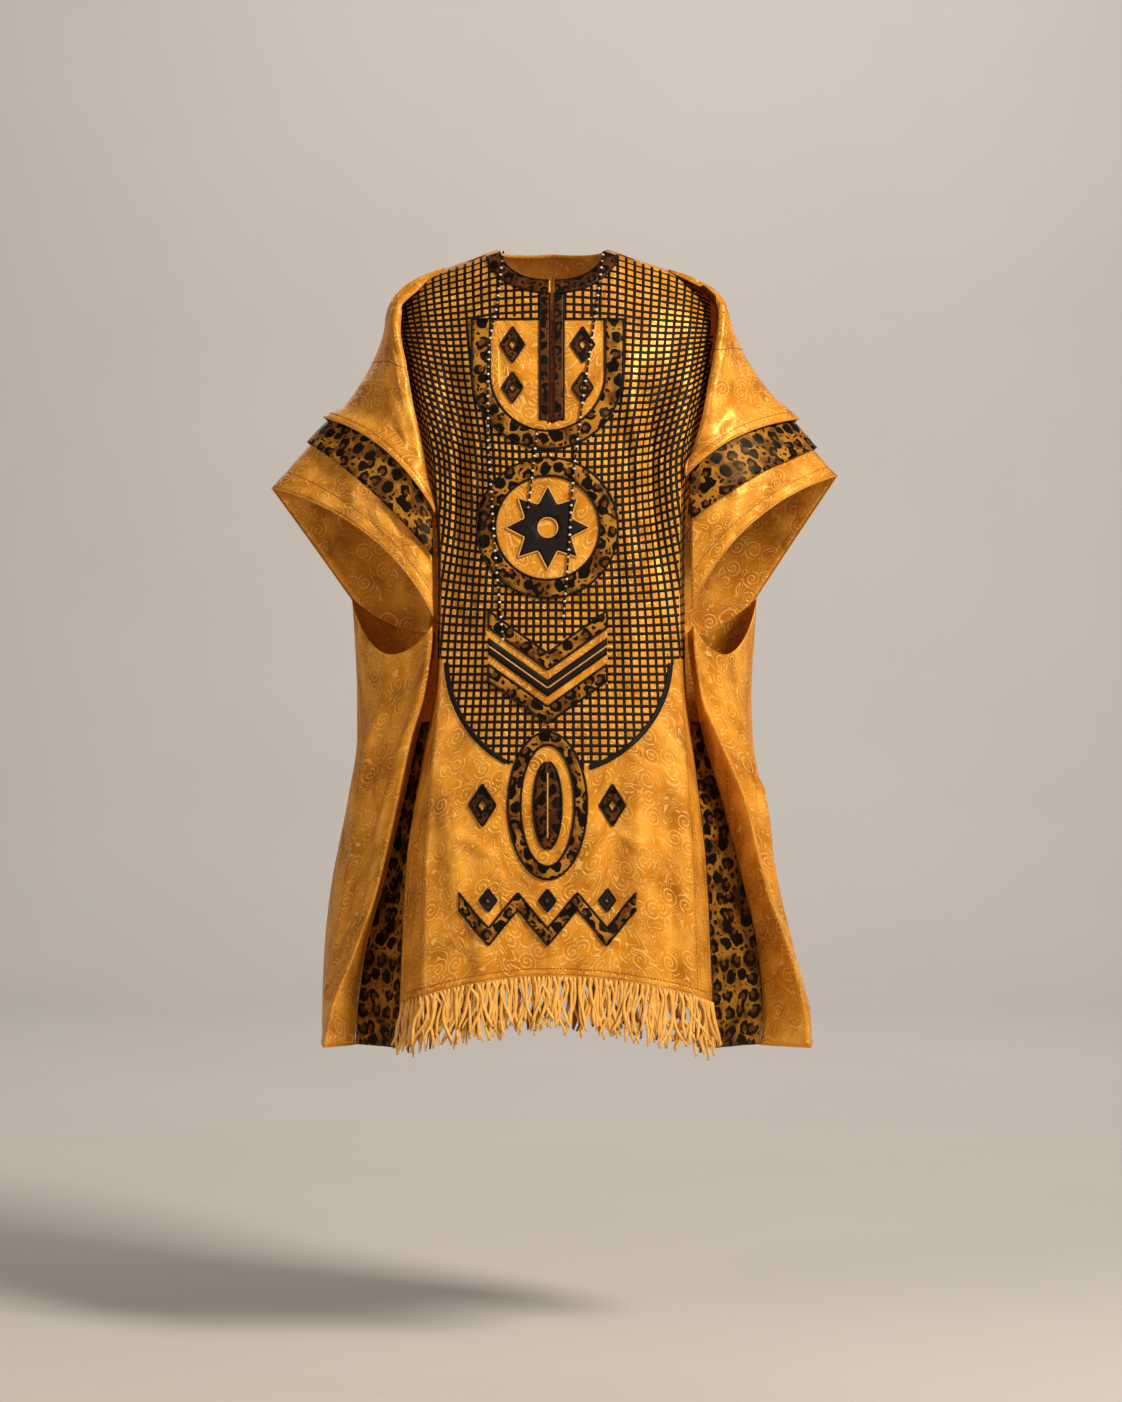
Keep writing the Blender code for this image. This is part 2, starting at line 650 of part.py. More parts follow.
def build_gusset(side):
    """The leopard inset between the front panel's return and the wing."""
    sign = -1 if side == "left" else 1
    columns = 5
    grid = []
    for k in range(GUSSET_FROM_ROW, WING_ROWS + 1):
        stop = wing_row(sign * 1.0, k)
        start = front_end_at(sign, stop[2])
        start[2] = stop[2]
        way = stop - start
        way /= np.linalg.norm(way)
        inwards = wing_row(sign * FOLD_AT, k) - stop
        first, last = start + way * SEAM * 1.3, stop - way * seam_room(-way, inwards)
        row = []
        for j in range(columns + 1):
            share = j / columns
            point = first + (last - first) * share
            point[1] += 0.006 * math.sin(math.pi * share) * ease((k - GUSSET_FROM_ROW) / 6)
            row.append(point)
        grid.append(row)
    wall("gusset_" + side, grid, "leopard", flip=side == "right")


def build_tier(side, tier):
    name, first, last, base, flare = tier
    grid = []
    for i in range(round((last - first) / TIER_STEP) + 1):
        stage = first + i * TIER_STEP
        out = base * ease((stage + 0.5) / 3.0) + flare * ease((stage - last + 1.2) / 1.2)
        row = []
        for j in range(TIER_CELLS_AROUND + 1):
            row.append(sleeve_point(side, j / TIER_CELLS_AROUND, stage, out))
        grid.append(row)
    finish = "leopard" if name == "leopard" else "brocade"
    wall("sleeve_" + name + "_" + side, grid, finish, flip=side == "left")


def strip_on_front(name, inner, outer, finish, across=2, closed=False):
    """Trim between two outlines given as (x, z) points, laid on the front panel."""
    grid = []
    for k in range(across + 1):
        share = k / across
        row = []
        for (xa, za), (xb, zb) in zip(inner, outer):
            row.append(on_front(xa + (xb - xa) * share, za + (zb - za) * share, TRIM_LIFT))
        grid.append(row)
    way = np.cross(np.array(grid[1][0]) - grid[0][0], np.array(grid[0][1]) - grid[0][0])
    return wall(name, grid, finish, thick=TRIM, closed=closed, flip=way[1] < 0)


def build_neck_facing():
    """The leopard band round the neckline, in two halves that meet at the slit, and one behind."""
    steps = 20
    inner, outer = [], []
    for k in range(steps + 1):
        angle = math.radians(FACING_TURN * (2 * k / steps - 1))
        near_x, near_drop = (NECK_HALF - 0.001) * math.sin(angle), NECK_DROP_FRONT * math.cos(angle)
        far_x = (NECK_HALF + FACING_WIDE) * math.sin(angle)
        far_drop = (NECK_DROP_FRONT + FACING_WIDE) * math.cos(angle)
        inner.append((near_x, ridge_z(near_x) - near_drop - FACING_BELOW))
        outer.append((far_x, ridge_z(far_x) - far_drop - FACING_BELOW))
    for side, sign in (("left", -1), ("right", 1)):
        kept = [i for i, place in enumerate(inner) if place[0] * sign > SLIT_HALF + 0.001]
        strip_on_front("neck_facing_" + side, [inner[i] for i in kept], [outer[i] for i in kept], "leopard")
    grid = []
    for wide in (0.0, 0.5, 1.0):
        row = []
        for k in range(13):
            angle = math.radians(FACING_TURN * (2 * k / 12 - 1))
            x = (NECK_HALF + FACING_WIDE * wide) * math.sin(angle)
            z = ridge_z(x) - (NECK_DROP_BACK + FACING_WIDE * wide) * math.cos(angle) - FACING_BELOW
            row.append(on_back(x, z, TRIM_LIFT + 0.0002))
        grid.append(row)
    wall("neck_facing_back", grid, "leopard", thick=TRIM)


def on_back(x, z, lift):
    near = 0.002
    y = back_depth(x, z)
    along = (back_depth(x + near, z) - back_depth(x - near, z)) / (2 * near)
    down = (back_depth(x, z + near) - back_depth(x, z - near)) / (2 * near)
    normal = np.array((-along, 1.0, -down))
    return np.array((x, y, z)) + normal / np.linalg.norm(normal) * lift


def build_placket():
    """A leopard strip along each side of the neck slit."""
    for side, sign in (("left", -1), ("right", 1)):
        inner, outer = [], []
        for k in range(13):
            z = PLACKET_TOP + (PLACKET_BOTTOM - PLACKET_TOP) * k / 12
            near = SLIT_HALF + 0.0010
            inner.append((sign * near, z))
            outer.append((sign * (near + PLACKET_WIDE), z + 0.008 * (k == 12)))
        strip_on_front("placket_" + side, inner, outer, "leopard", across=1)


def ring_points(x, z, wide, high, steps, start=0.0):
    turns = [start + 2 * math.pi * k / steps for k in range(steps)]
    return [(x + wide * math.sin(turn), z + high * math.cos(turn)) for turn in turns]


def star_points(x, z, tip, notch, points):
    """A star's outline: a tip and a notch by turns."""
    out = []
    for k in range(points * 2):
        reach = tip if k % 2 == 0 else notch
        turn = math.pi * k / points
        out.append((x + reach * math.sin(turn), z + reach * math.cos(turn)))
    return out


def bib_points(half, foot_z):
    """A U round the neck slit: down one side, round the foot and up the other."""
    sides = [BIB_TOP + (BIB_TURN - BIB_TOP) * k / 5 for k in range(5)]
    left = [(COLUMN_MIDDLE - half, z) for z in sides]
    right = [(COLUMN_MIDDLE + half, z) for z in reversed(sides)]
    round_foot = []
    for k in range(19):
        turn = math.pi * k / 18
        x = COLUMN_MIDDLE - half * math.cos(turn)
        round_foot.append((x, BIB_TURN + (foot_z - BIB_TURN) * math.sin(turn)))
    return left + round_foot + right


def chevron_points(top_z):
    """A V across the column, seven points to each arm."""
    arm = [k / 6 for k in range(7)]
    left = [(COLUMN_MIDDLE - CHEVRON_HALF * (1 - t), top_z - CHEVRON_DEEP * t) for t in arm]
    right = [(COLUMN_MIDDLE + CHEVRON_HALF * t, top_z - CHEVRON_DEEP * (1 - t)) for t in arm[1:]]
    return left + right


def zigzag_points(lift):
    out = []
    for k in range(ZIGZAG_TURNS * 3 + 1):
        share = k / 3
        peak = abs(share % 2 - 1)
        x = COLUMN_MIDDLE + ZIGZAG_HALF * (2 * share / ZIGZAG_TURNS - 1)
        out.append((x, ZIGZAG_Z + ZIGZAG_HIGH * (peak - 0.5) + lift))
    return out


def build_column():
    """The applied column down the middle of the front, from the neck slit to above the hem."""
    x = COLUMN_MIDDLE
    strip_on_front("column_bib", bib_points(BIB_HALF - BIB_WIDE, BIB_FOOT + BIB_WIDE),
                   bib_points(BIB_HALF, BIB_FOOT), "leopard")
    strip_on_front("column_ring", ring_points(x, RING_Z, RING_INSIDE, RING_INSIDE, 28),
                   ring_points(x, RING_Z, RING_OUTSIDE, RING_OUTSIDE, 28), "leopard", closed=True)
    strip_on_front("column_star", ring_points(x, RING_Z, STAR_HOLE, STAR_HOLE, 16),
                   star_points(x, RING_Z, STAR_TIP, STAR_NOTCH, 8), "satin", closed=True)
    for number, (top_z, finish) in enumerate(CHEVRONS, 1):
        strip_on_front("column_chevron_%d" % number, chevron_points(top_z),
                       chevron_points(top_z - CHEVRON_WIDE), finish)
    strip_on_front("column_oval", ring_points(x, OVAL_Z, OVAL_HALF - OVAL_WIDE, OVAL_TALL - OVAL_WIDE, 28),
                   ring_points(x, OVAL_Z, OVAL_HALF, OVAL_TALL, 28), "leopard", across=1, closed=True)
    seed = [math.pi * (0.04 + 0.92 * k / 12) for k in range(13)]
    strip_on_front("column_seed",
                   [(x - SEED_HALF * math.sin(t), OVAL_Z + SEED_TALL * math.cos(t)) for t in seed],
                   [(x + SEED_HALF * math.sin(t), OVAL_Z + SEED_TALL * math.cos(t)) for t in seed], "satin")
    strip_on_front("column_zigzag", zigzag_points(ZIGZAG_WIDE / 2), zigzag_points(-ZIGZAG_WIDE / 2),
                   "leopard", across=1)


def build_lattice_border():
    """The dark band that edges the lattice below the waist, in two halves beside the column."""
    for side, sign, half in (("left", -1, BORDER_HALF_LEFT), ("right", 1, BORDER_HALF_RIGHT)):
        inner, outer = [], []
        stop = math.acos((BORDER_CLEAR + sign * COLUMN_MIDDLE) / half)
        for k in range(17):
            turn = stop * (0.03 + 0.97 * k / 16)
            spot = (sign * half * math.cos(turn), BORDER_TOP - BORDER_DEEP * math.sin(turn))
            out = np.array((sign * math.cos(turn) * BORDER_DEEP, -math.sin(turn) * half))
            out /= np.linalg.norm(out)
            inner.append((spot[0] - out[0] * BORDER_WIDE, spot[1] - out[1] * BORDER_WIDE))
            outer.append(spot)
        strip_on_front("lattice_border_" + side, inner, outer, "satin", across=1)


def strand_sway(k):
    """An uneven lean and length for each strand, the same at every run."""
    lean = math.sin(k * 12.9898) * 43758.5453
    long = math.sin(k * 78.233) * 12543.123
    return (lean - math.floor(lean)) * 2 - 1, long - math.floor(long)


def build_fringe():
    """A strip under the front hem; every other cell of its lower face is drawn down as a strand."""
    cells = FRINGE_STRANDS * 2 + 1
    spots = []
    for i in range(cells + 1):
        s = FRINGE_REACH * (2 * i / cells - 1)
        point = front_grid_point(s, 1.0)
        beside = front_grid_point(min(s + 0.01, 1.0), 1.0) - front_grid_point(max(s - 0.01, -1.0), 1.0)
        outward = np.array((beside[1], -beside[0], 0.0))
        spots.append((point, outward / np.linalg.norm(outward)))
    mesh = bmesh.new()
    levels = []
    for drop in (FRINGE_BELOW, FRINGE_BELOW + FRINGE_STRIP):
        pairs = []
        for point, outward in spots:
            low = point + np.array((0.0, 0.0, -drop))
            pairs.append([mesh.verts.new(low + outward * FRINGE_THICK / 2 * face) for face in (1, -1)])
        levels.append(pairs)
    top, foot = levels
    for i in range(cells):
        mesh.faces.new((top[i][0], top[i + 1][0], top[i + 1][1], top[i][1]))
        mesh.faces.new((top[i][0], foot[i][0], foot[i + 1][0], top[i + 1][0]))
        mesh.faces.new((top[i + 1][1], foot[i + 1][1], foot[i][1], top[i][1]))
        ring = [foot[i][0], foot[i][1], foot[i + 1][1], foot[i + 1][0]]
        if i % 2 == 1:
            ring = draw_strand(mesh, ring, spots[i][1], i, 2 * i / cells - 1)
        mesh.faces.new(ring)
    for end, turn in ((0, -1), (cells, 1)):
        around = [top[end][0], foot[end][0], foot[end][1], top[end][1]]
        mesh.faces.new(around[::turn])
    data = bpy.data.meshes.new("front_fringe")
    mesh.to_mesh(data)
    mesh.free()
    new_object("front_fringe", data, "fringe")


def draw_strand(mesh, ring, outward, number, place):
    """Draws a ring of four points down in steps, leaning a little; gives back the last ring."""
    lean, long = strand_sway(number)
    along = np.array((-outward[1], outward[0], 0.0))
    flare = FRINGE_FLARE * abs(place) ** 6 * math.copysign(1.0, place)
    for share, sways, thins in FRINGE_STEPS:
        drop = FRINGE_LONG * (0.86 + 0.14 * long) * share
        sway = (along * (lean * FRINGE_LEAN) + outward * FRINGE_OUTWARD) * sways
        sway[0] += flare * sways
        middle = sum((np.array(v.co) for v in ring), np.zeros(3)) / 4
        after = []
        for v in ring:
            spot = middle + (np.array(v.co) - middle) * thins
            after.append(mesh.verts.new(spot + sway + np.array((0.0, 0.0, -drop))))
        for k in range(4):
            mesh.faces.new((ring[k], ring[(k + 1) % 4], after[(k + 1) % 4], after[k]))
        ring = after
    return ring


def build_all():
    clear_scene()
    build_front()
    build_back()
    for side in ("left", "right"):
        build_gusset(side)
        for tier in TIERS:
            build_tier(side, tier)
    build_neck_facing()
    build_placket()
    build_column()
    build_lattice_border()
    build_fringe()


build_all()
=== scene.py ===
"""A grand boubou of glazed gold brocade with leopard insets, an embroidered lattice and a fringed hem."""

import math

import bpy
import numpy as np
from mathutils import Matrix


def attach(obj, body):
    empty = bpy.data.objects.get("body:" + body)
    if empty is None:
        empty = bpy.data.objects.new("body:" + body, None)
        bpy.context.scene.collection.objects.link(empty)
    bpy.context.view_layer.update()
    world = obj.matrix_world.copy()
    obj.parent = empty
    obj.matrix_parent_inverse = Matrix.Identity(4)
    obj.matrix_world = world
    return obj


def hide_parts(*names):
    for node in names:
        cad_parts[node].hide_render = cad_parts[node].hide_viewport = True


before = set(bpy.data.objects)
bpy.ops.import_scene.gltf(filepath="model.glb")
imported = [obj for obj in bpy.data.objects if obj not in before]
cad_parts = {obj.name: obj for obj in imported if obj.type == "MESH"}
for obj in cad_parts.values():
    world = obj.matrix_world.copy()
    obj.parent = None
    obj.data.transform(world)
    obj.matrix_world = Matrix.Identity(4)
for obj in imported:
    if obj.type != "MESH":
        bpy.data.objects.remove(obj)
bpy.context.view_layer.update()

# Sizes and places are in metres in the part's frame: +Z up, the front faces -Y, +X is on the photo's right.

CLOTH = 0.0013  # brocade with its facing
PRINT = 0.0012  # leopard satin
WALL = 0.0016  # the solids' wall, which lifts are measured from
LIFT = 0.0019  # from a panel to the sleeve's innermost layer
LIFT_AT_START = 0.64  # the share of it at the sleeve's start on the shoulder
TRIM = 0.0011  # an applied piece
TRIM_LIFT = WALL / 2 + 0.0013  # from a panel's middle to an applied piece's middle
ROLL = 0.0013  # half the thickness of a rolled edge

NECK_HALF = 0.077
NECK_DROP_FRONT = 0.060
NECK_DROP_BACK = 0.010
NECK_TURN = 84  # degrees from the middle to each end of the leopard band
FACING_WIDE = 0.018
SHOULDER_HALF = 0.232
SHOULDER_ROUND = 0.060
SLIT_HALF = 0.0022
SLIT_FOOT = 0.212  # as a share of the front's height
SLIT_ROWS = 40
COLUMN_MIDDLE = -0.006

HEM_FRONT_MIDDLE = -1.046
HEM_FRONT_SIDE = -1.092
HEM_FRONT_UP = 0.0105  # from the front's edge up to the hem's stitches
HEM_BACK_MIDDLE = -1.078
HEM_BACK_SIDE = -1.158
HEM_BACK_UP = 0.0120
WING_TOP = -0.556
WING_RISE = 0.048
WING_DIP = 0.060
WING_END = 0.006
WING_ROWS = 14
GUSSET_FROM_ROW = 3

# the shoulder line from the neck outwards
SHOULDER_COLUMNS = ("x", "z")
SHOULDER = (
    (0.000, 0.008),
    (0.077, 0.000),
    (0.120, -0.015),
    (0.156, -0.028),
    (0.194, -0.048),
    (0.225, -0.076),
    (0.240, -0.106),
    (0.260, -0.160),
)
RIGHT_SHOULDER_WIDER = 1.04

# the front panel across, at each height: its corner, and the edge where its side return ends
FRONT_COLUMNS = ("z", "corner_left", "corner_right", "end_left", "end_right", "y_middle", "y_corner", "y_end")
FRONT = (
    (0.020, 0.186, 0.194, 0.232, 0.241, -0.098, -0.080, -0.020),
    (-0.090, 0.186, 0.196, 0.230, 0.240, -0.108, -0.090, -0.030),
    (-0.200, 0.184, 0.200, 0.212, 0.232, -0.124, -0.102, -0.045),
    (-0.320, 0.168, 0.186, 0.184, 0.204, -0.133, -0.108, -0.045),
    (-0.450, 0.158, 0.182, 0.165, 0.192, -0.138, -0.110, -0.042),
    (-0.600, 0.159, 0.183, 0.165, 0.192, -0.142, -0.114, -0.042),
    (-0.750, 0.170, 0.190, 0.188, 0.206, -0.148, -0.124, -0.058),
    (-0.900, 0.178, 0.198, 0.210, 0.222, -0.156, -0.136, -0.066),
    (-1.100, 0.183, 0.203, 0.219, 0.231, -0.168, -0.150, -0.070),
)
CORNER_AT = 0.80  # the share across at which the front turns into its side return
CORNER_MEAN = 0.172  # how far out the corner stands beside the lattice

# the hollow between the chest and the arm, at each height
TROUGH_COLUMNS = ("z", "x", "deep", "wide")
TROUGH = (
    (-0.080, 0.170, 0.000, 0.020),
    (-0.140, 0.158, 0.006, 0.022),
    (-0.250, 0.136, 0.014, 0.022),
    (-0.350, 0.132, 0.013, 0.022),
    (-0.450, 0.142, 0.010, 0.020),
    (-0.580, 0.150, 0.003, 0.020),
    (-0.700, 0.155, 0.000, 0.020),
)

# the back panel across: back seam, outer fold (the silhouette), front fold, and edge at the gusset
BACK_COLUMNS = (
    "z", "seam_left", "seam_right", "y_middle", "y_seam",
    "outer_left", "outer_right", "y_outer",
    "fold_left", "fold_right", "y_fold",
    "edge_left", "edge_right", "y_edge",
)
BACK = (
    (0.020, 0.232, 0.241, 0.096, 0.020, 0.290, 0.297, 0.030, 0.172, 0.200, -0.104, 0.167, 0.196, -0.036),
    (-0.090, 0.230, 0.240, 0.106, 0.036, 0.290, 0.297, 0.030, 0.172, 0.200, -0.104, 0.167, 0.196, -0.036),
    (-0.220, 0.212, 0.224, 0.116, 0.062, 0.290, 0.297, 0.030, 0.172, 0.200, -0.104, 0.167, 0.196, -0.036),
    (-0.400, 0.184, 0.196, 0.124, 0.078, 0.300, 0.306, 0.030, 0.172, 0.202, -0.104, 0.168, 0.197, -0.034),
    (-0.556, 0.184, 0.196, 0.130, 0.090, 0.290, 0.297, 0.030, 0.172, 0.203, -0.102, 0.168, 0.197, -0.034),
    (-0.650, 0.188, 0.200, 0.136, 0.098, 0.286, 0.292, 0.030, 0.184, 0.214, -0.098, 0.180, 0.208, -0.034),
    (-0.710, 0.190, 0.202, 0.139, 0.102, 0.286, 0.294, 0.030, 0.202, 0.238, -0.094, 0.196, 0.220, -0.036),
    (-0.800, 0.196, 0.210, 0.146, 0.110, 0.299, 0.309, 0.032, 0.222, 0.276, -0.086, 0.216, 0.246, -0.034),
    (-0.930, 0.204, 0.220, 0.160, 0.124, 0.323, 0.331, 0.034, 0.252, 0.309, -0.074, 0.248, 0.280, -0.026),
    (-1.020, 0.210, 0.226, 0.170, 0.134, 0.333, 0.350, 0.036, 0.284, 0.343, -0.066, 0.272, 0.300, -0.018),
    (-1.110, 0.216, 0.232, 0.180, 0.142, 0.337, 0.376, 0.036, 0.320, 0.368, -0.058, 0.284, 0.308, -0.012),
    (-1.165, 0.218, 0.236, 0.186, 0.148, 0.338, 0.382, 0.034, 0.331, 0.374, -0.052, 0.288, 0.302, -0.010),
)
# the shares across at which the back reaches its seam, outer fold and front fold
SEAM_AT = 0.42
OUTER_AT = 0.66
FOLD_AT = 0.86
BACK_FOLDS = 6.5
BACK_FOLD_DEEP = 0.016
BACK_TOP_ROWS = 58
BACK_WING_ROWS = 92

# the sleeve: its ridge over the shoulder and its front edge, at each stage on the way down
SLEEVE_COLUMNS = (
    "stage", "ridge_left", "ridge_right", "ridge_z_left", "ridge_z_right",
    "edge_left", "edge_right", "edge_z_left", "edge_z_right", "edge_y", "back_z",
    "round_front", "round_back", "belly",
)
SLEEVE = (
    (0.0, 0.156, 0.169, -0.0262, -0.0295, 0.157, 0.170, -0.0295, -0.0318, -0.010, -0.0305, 0.30, 0.30, 0.000),
    (1.0, 0.194, 0.204, -0.043, -0.043, 0.195, 0.205, -0.062, -0.052, -0.036, -0.062, 0.30, 0.30, 0.000),
    (2.0, 0.223, 0.233, -0.065, -0.062, 0.222, 0.236, -0.093, -0.072, -0.045, -0.093, 0.30, 0.30, 0.000),
    (3.0, 0.235, 0.246, -0.088, -0.078, 0.224, 0.246, -0.126, -0.100, -0.060, -0.130, 0.35, 0.35, 0.001),
    (4.0, 0.244, 0.259, -0.129, -0.114, 0.214, 0.240, -0.178, -0.149, -0.075, -0.180, 0.40, 0.40, 0.003),
    (5.0, 0.260, 0.275, -0.170, -0.151, 0.205, 0.229, -0.228, -0.206, -0.085, -0.235, 0.45, 0.45, 0.006),
    (6.0, 0.282, 0.297, -0.207, -0.188, 0.192, 0.219, -0.285, -0.257, -0.090, -0.295, 0.50, 0.45, 0.009),
    (7.0, 0.303, 0.323, -0.233, -0.220, 0.181, 0.207, -0.343, -0.300, -0.092, -0.355, 0.60, 0.40, 0.012),
    (8.0, 0.326, 0.352, -0.251, -0.252, 0.175, 0.198, -0.389, -0.337, -0.095, -0.405, 0.60, 0.30, 0.015),
    (9.0, 0.353, 0.382, -0.284, -0.292, 0.172, 0.200, -0.453, -0.400, -0.097, -0.490, 0.22, 0.15, 0.018),
    (10.0, 0.409, 0.416, -0.347, -0.329, 0.170, 0.200, -0.537, -0.526, -0.098, -0.680, 0.55, 0.00, 0.020),
)
RIDGE_Y = 0.004
BACK_EDGE_OFF = 0.0042
BACK_EDGE_LAP = 0.012  # how far the sleeve's back edge laps over the back panel
SHOULDER_SLOPE = 1.2  # a lift counts this much more on the sloping shoulder
FARTHEST_OFF = 0.018  # the most that a steep front pushes the sleeve out
STEEPEST_BACK = 1.6  # the most that a steep back multiplies the lift by
SLOPE_STEP = 0.015  # the share of x over which the back's slope is read
CROSS_SEAM, CROSS_SEAM_DIP = 4.9, 0.8  # stage of the upper layer's cross seam on the ridge; less at its ends
HEM_STAGES = {"upper": 0.30, "mouth": 0.36}  # from a layer's lower edge up to its stitches
STAGE_COUNTS = 0.06  # a stage counts for this much of the way round

# creases pressed into the front by wear: from x, z to x, z, how wide, and how high (minus is outward)
FRONT_CREASES = (
    (-0.138, -0.846, -0.078, -0.884, 0.0085, -0.0067),
    (-0.126, -0.872, -0.060, -0.918, 0.0070, -0.0035),
    (-0.150, -0.770, -0.132, -0.980, 0.0170, -0.0074),
    (-0.096, -0.930, -0.104, -1.070, 0.0140, -0.0058),
    (-0.040, -0.960, -0.030, -1.060, 0.0120, 0.0048),
    (0.038, -0.930, 0.052, -1.060, 0.0150, -0.0054),
    (0.078, -0.770, 0.096, -1.000, 0.0160, 0.0058),
    (0.118, -0.720, 0.134, -1.040, 0.0170, -0.0070),
    (0.160, -0.780, 0.172, -1.080, 0.0130, 0.0064),
    (0.086, -0.842, 0.140, -0.872, 0.0060, -0.0029),
    (0.060, -0.985, 0.112, -1.012, 0.0050, -0.0026),
    (-0.152, -0.994, -0.110, -1.014, 0.0050, -0.0024),
    (-0.112, -0.130, -0.134, -0.300, 0.0150, -0.0058),
    (0.104, -0.150, 0.118, -0.320, 0.0160, -0.0064),
    (-0.104, -0.420, -0.088, -0.640, 0.0150, -0.0042),
    (0.118, -0.400, 0.112, -0.650, 0.0160, -0.0048),
    (-0.128, -0.330, -0.092, -0.372, 0.0070, -0.0032),
    (0.134, -0.300, 0.098, -0.350, 0.0080, -0.0035),
    (0.126, -0.470, 0.150, -0.520, 0.0070, -0.0032),
    (-0.134, -0.500, -0.112, -0.548, 0.0070, -0.0029),
    (-0.124, -0.200, -0.134, -0.470, 0.0100, 0.0115),
    (0.136, -0.195, 0.146, -0.470, 0.0100, 0.0105),
    (-0.094, -0.270, -0.112, -0.450, 0.0075, 0.0060),
    (0.104, -0.260, 0.122, -0.450, 0.0080, 0.0058),
)
# the same on the back, from share, z to share, z, with the width as a share (plus is outward)
BACK_CREASES = (
    (-0.29, -0.080, -0.18, -0.380, 0.024, 0.0074),
    (0.28, -0.070, 0.16, -0.350, 0.026, 0.0080),
    (-0.36, -0.200, -0.31, -0.520, 0.018, 0.0054),
    (0.35, -0.190, 0.33, -0.560, 0.020, -0.0048),
    (-0.05, -0.110, -0.11, -0.440, 0.020, 0.0054),
    (0.11, -0.280, 0.07, -0.760, 0.022, -0.0072),
    (-0.16, -0.460, -0.13, -1.040, 0.024, 0.0086),
    (0.20, -0.500, 0.25, -1.080, 0.026, 0.0092),
    (-0.29, -0.620, -0.33, -1.110, 0.024, -0.0086),
    (0.03, -0.560, -0.02, -1.060, 0.022, 0.0078),
    (-0.51, -0.600, -0.55, -1.100, 0.020, 0.0069),
    (-0.60, -0.720, -0.63, -1.120, 0.016, -0.0060),
    (0.52, -0.600, 0.56, -1.110, 0.022, 0.0072),
    (0.61, -0.700, 0.62, -1.130, 0.016, -0.0066),
    (-0.73, -0.640, -0.76, -1.120, 0.016, 0.0051),
    (-0.80, -0.760, -0.82, -1.090, 0.011, -0.0042),
    (0.72, -0.620, 0.74, -1.130, 0.018, 0.0057),
    (0.79, -0.700, 0.81, -1.040, 0.012, -0.0051),
    (0.76, -1.080, 0.84, -1.120, 0.010, 0.0039),
    (-0.70, -1.060, -0.80, -1.100, 0.010, 0.0033),
    (-0.830, -0.590, -0.780, -0.900, 0.018, -0.0120),
    (0.830, -0.590, 0.790, -0.960, 0.018, -0.0125),
    (-0.770, -0.620, -0.715, -0.840, 0.016, 0.0080),
    (0.770, -0.620, 0.725, -0.860, 0.016, 0.0086),
    (-0.710, -0.710, -0.800, -0.840, 0.010, -0.0050),
    (0.720, -0.740, 0.810, -0.870, 0.010, -0.0054),
)
# and on a sleeve, from round, stage to round, stage, with the width as a share of the way round
SLEEVE_CREASES = {
    "upper": (
        (0.40, 3.2, 0.24, 6.8, 0.040, 0.0033),
        (0.30, 2.6, 0.10, 5.2, 0.030, 0.0024),
        (0.34, 5.6, 0.16, 7.6, 0.030, -0.0024),
        (0.62, 3.0, 0.76, 6.6, 0.040, 0.0033),
        (0.70, 5.0, 0.90, 7.4, 0.034, 0.0027),
        (0.46, 1.4, 0.44, 4.8, 0.030, 0.0018),
    ),
    "leopard": (
        (0.34, 7.2, 0.22, 8.8, 0.040, 0.0018),
        (0.68, 7.2, 0.80, 8.8, 0.040, 0.0018),
    ),
    "mouth": (
        (0.36, 8.2, 0.28, 9.8, 0.032, 0.0039),
        (0.18, 8.2, 0.12, 9.8, 0.026, -0.0030),
        (0.44, 8.6, 0.40, 9.9, 0.024, -0.0027),
        (0.66, 8.3, 0.74, 9.8, 0.034, 0.0042),
        (0.84, 8.3, 0.90, 9.8, 0.028, -0.0033),
        (0.26, 9.0, 0.18, 9.7, 0.020, 0.0021),
    ),
}
# each layer of the sleeve: stages it covers, how far out it lies, how far its lower edge stands off
TIERS = (
    ("upper", 0.0, 8.0, 0.0046, 0.0060, "brocade"),
    ("leopard", 7.0, 9.0, 0.0023, 0.0040, "leopard"),
    ("mouth", 8.0, 10.0, 0.0, 0.0, "brocade"),
)

PLACKET_TOP, PLACKET_FOOT, PLACKET_WIDE = -0.0735, -0.262, 0.014
BIB_TOP, BIB_TURN, BIB_FOOT, BIB_HALF, BIB_WIDE = -0.112, -0.190, -0.300, 0.108, 0.026
RING_Z, RING_OUTSIDE, RING_INSIDE = -0.412, 0.100, 0.074
STAR_TIP, STAR_NOTCH, STAR_HOLE = 0.060, 0.036, 0.014
CHEVRON_HALF, CHEVRON_DEEP, CHEVRON_WIDE = 0.084, 0.060, 0.024
CHEVRONS = ((-0.530, "leopard"), (-0.568, "satin"), (-0.606, "leopard"))
OVAL_Z, OVAL_HALF, OVAL_TALL, OVAL_WIDE = -0.806, 0.056, 0.104, 0.018
SEED_HALF, SEED_TALL, SEED_CORD = 0.020, 0.062, 0.046
ZIGZAG_Z, ZIGZAG_HALF, ZIGZAG_HIGH, ZIGZAG_TURNS, ZIGZAG_WIDE = -0.966, 0.126, 0.050, 6, 0.024
BORDER_TOP, BORDER_DEEP, BORDER_WIDE, BORDER_CLEAR = -0.598, 0.166, 0.007, 0.060
BORDER_HALF_LEFT, BORDER_HALF_RIGHT = 0.153, 0.172
# small lozenges beside the slit and beside the oval: off the column's middle, z, half width, half height
LOZENGES = (
    (0.050, -0.150, 0.017, 0.026),
    (0.050, -0.212, 0.015, 0.022),
    (0.092, -0.806, 0.019, 0.030),
)
NOTCH_UP, NOTCH_HALF, NOTCH_TALL = 0.026, 0.012, 0.016
LOZENGE_HOLE = 0.36

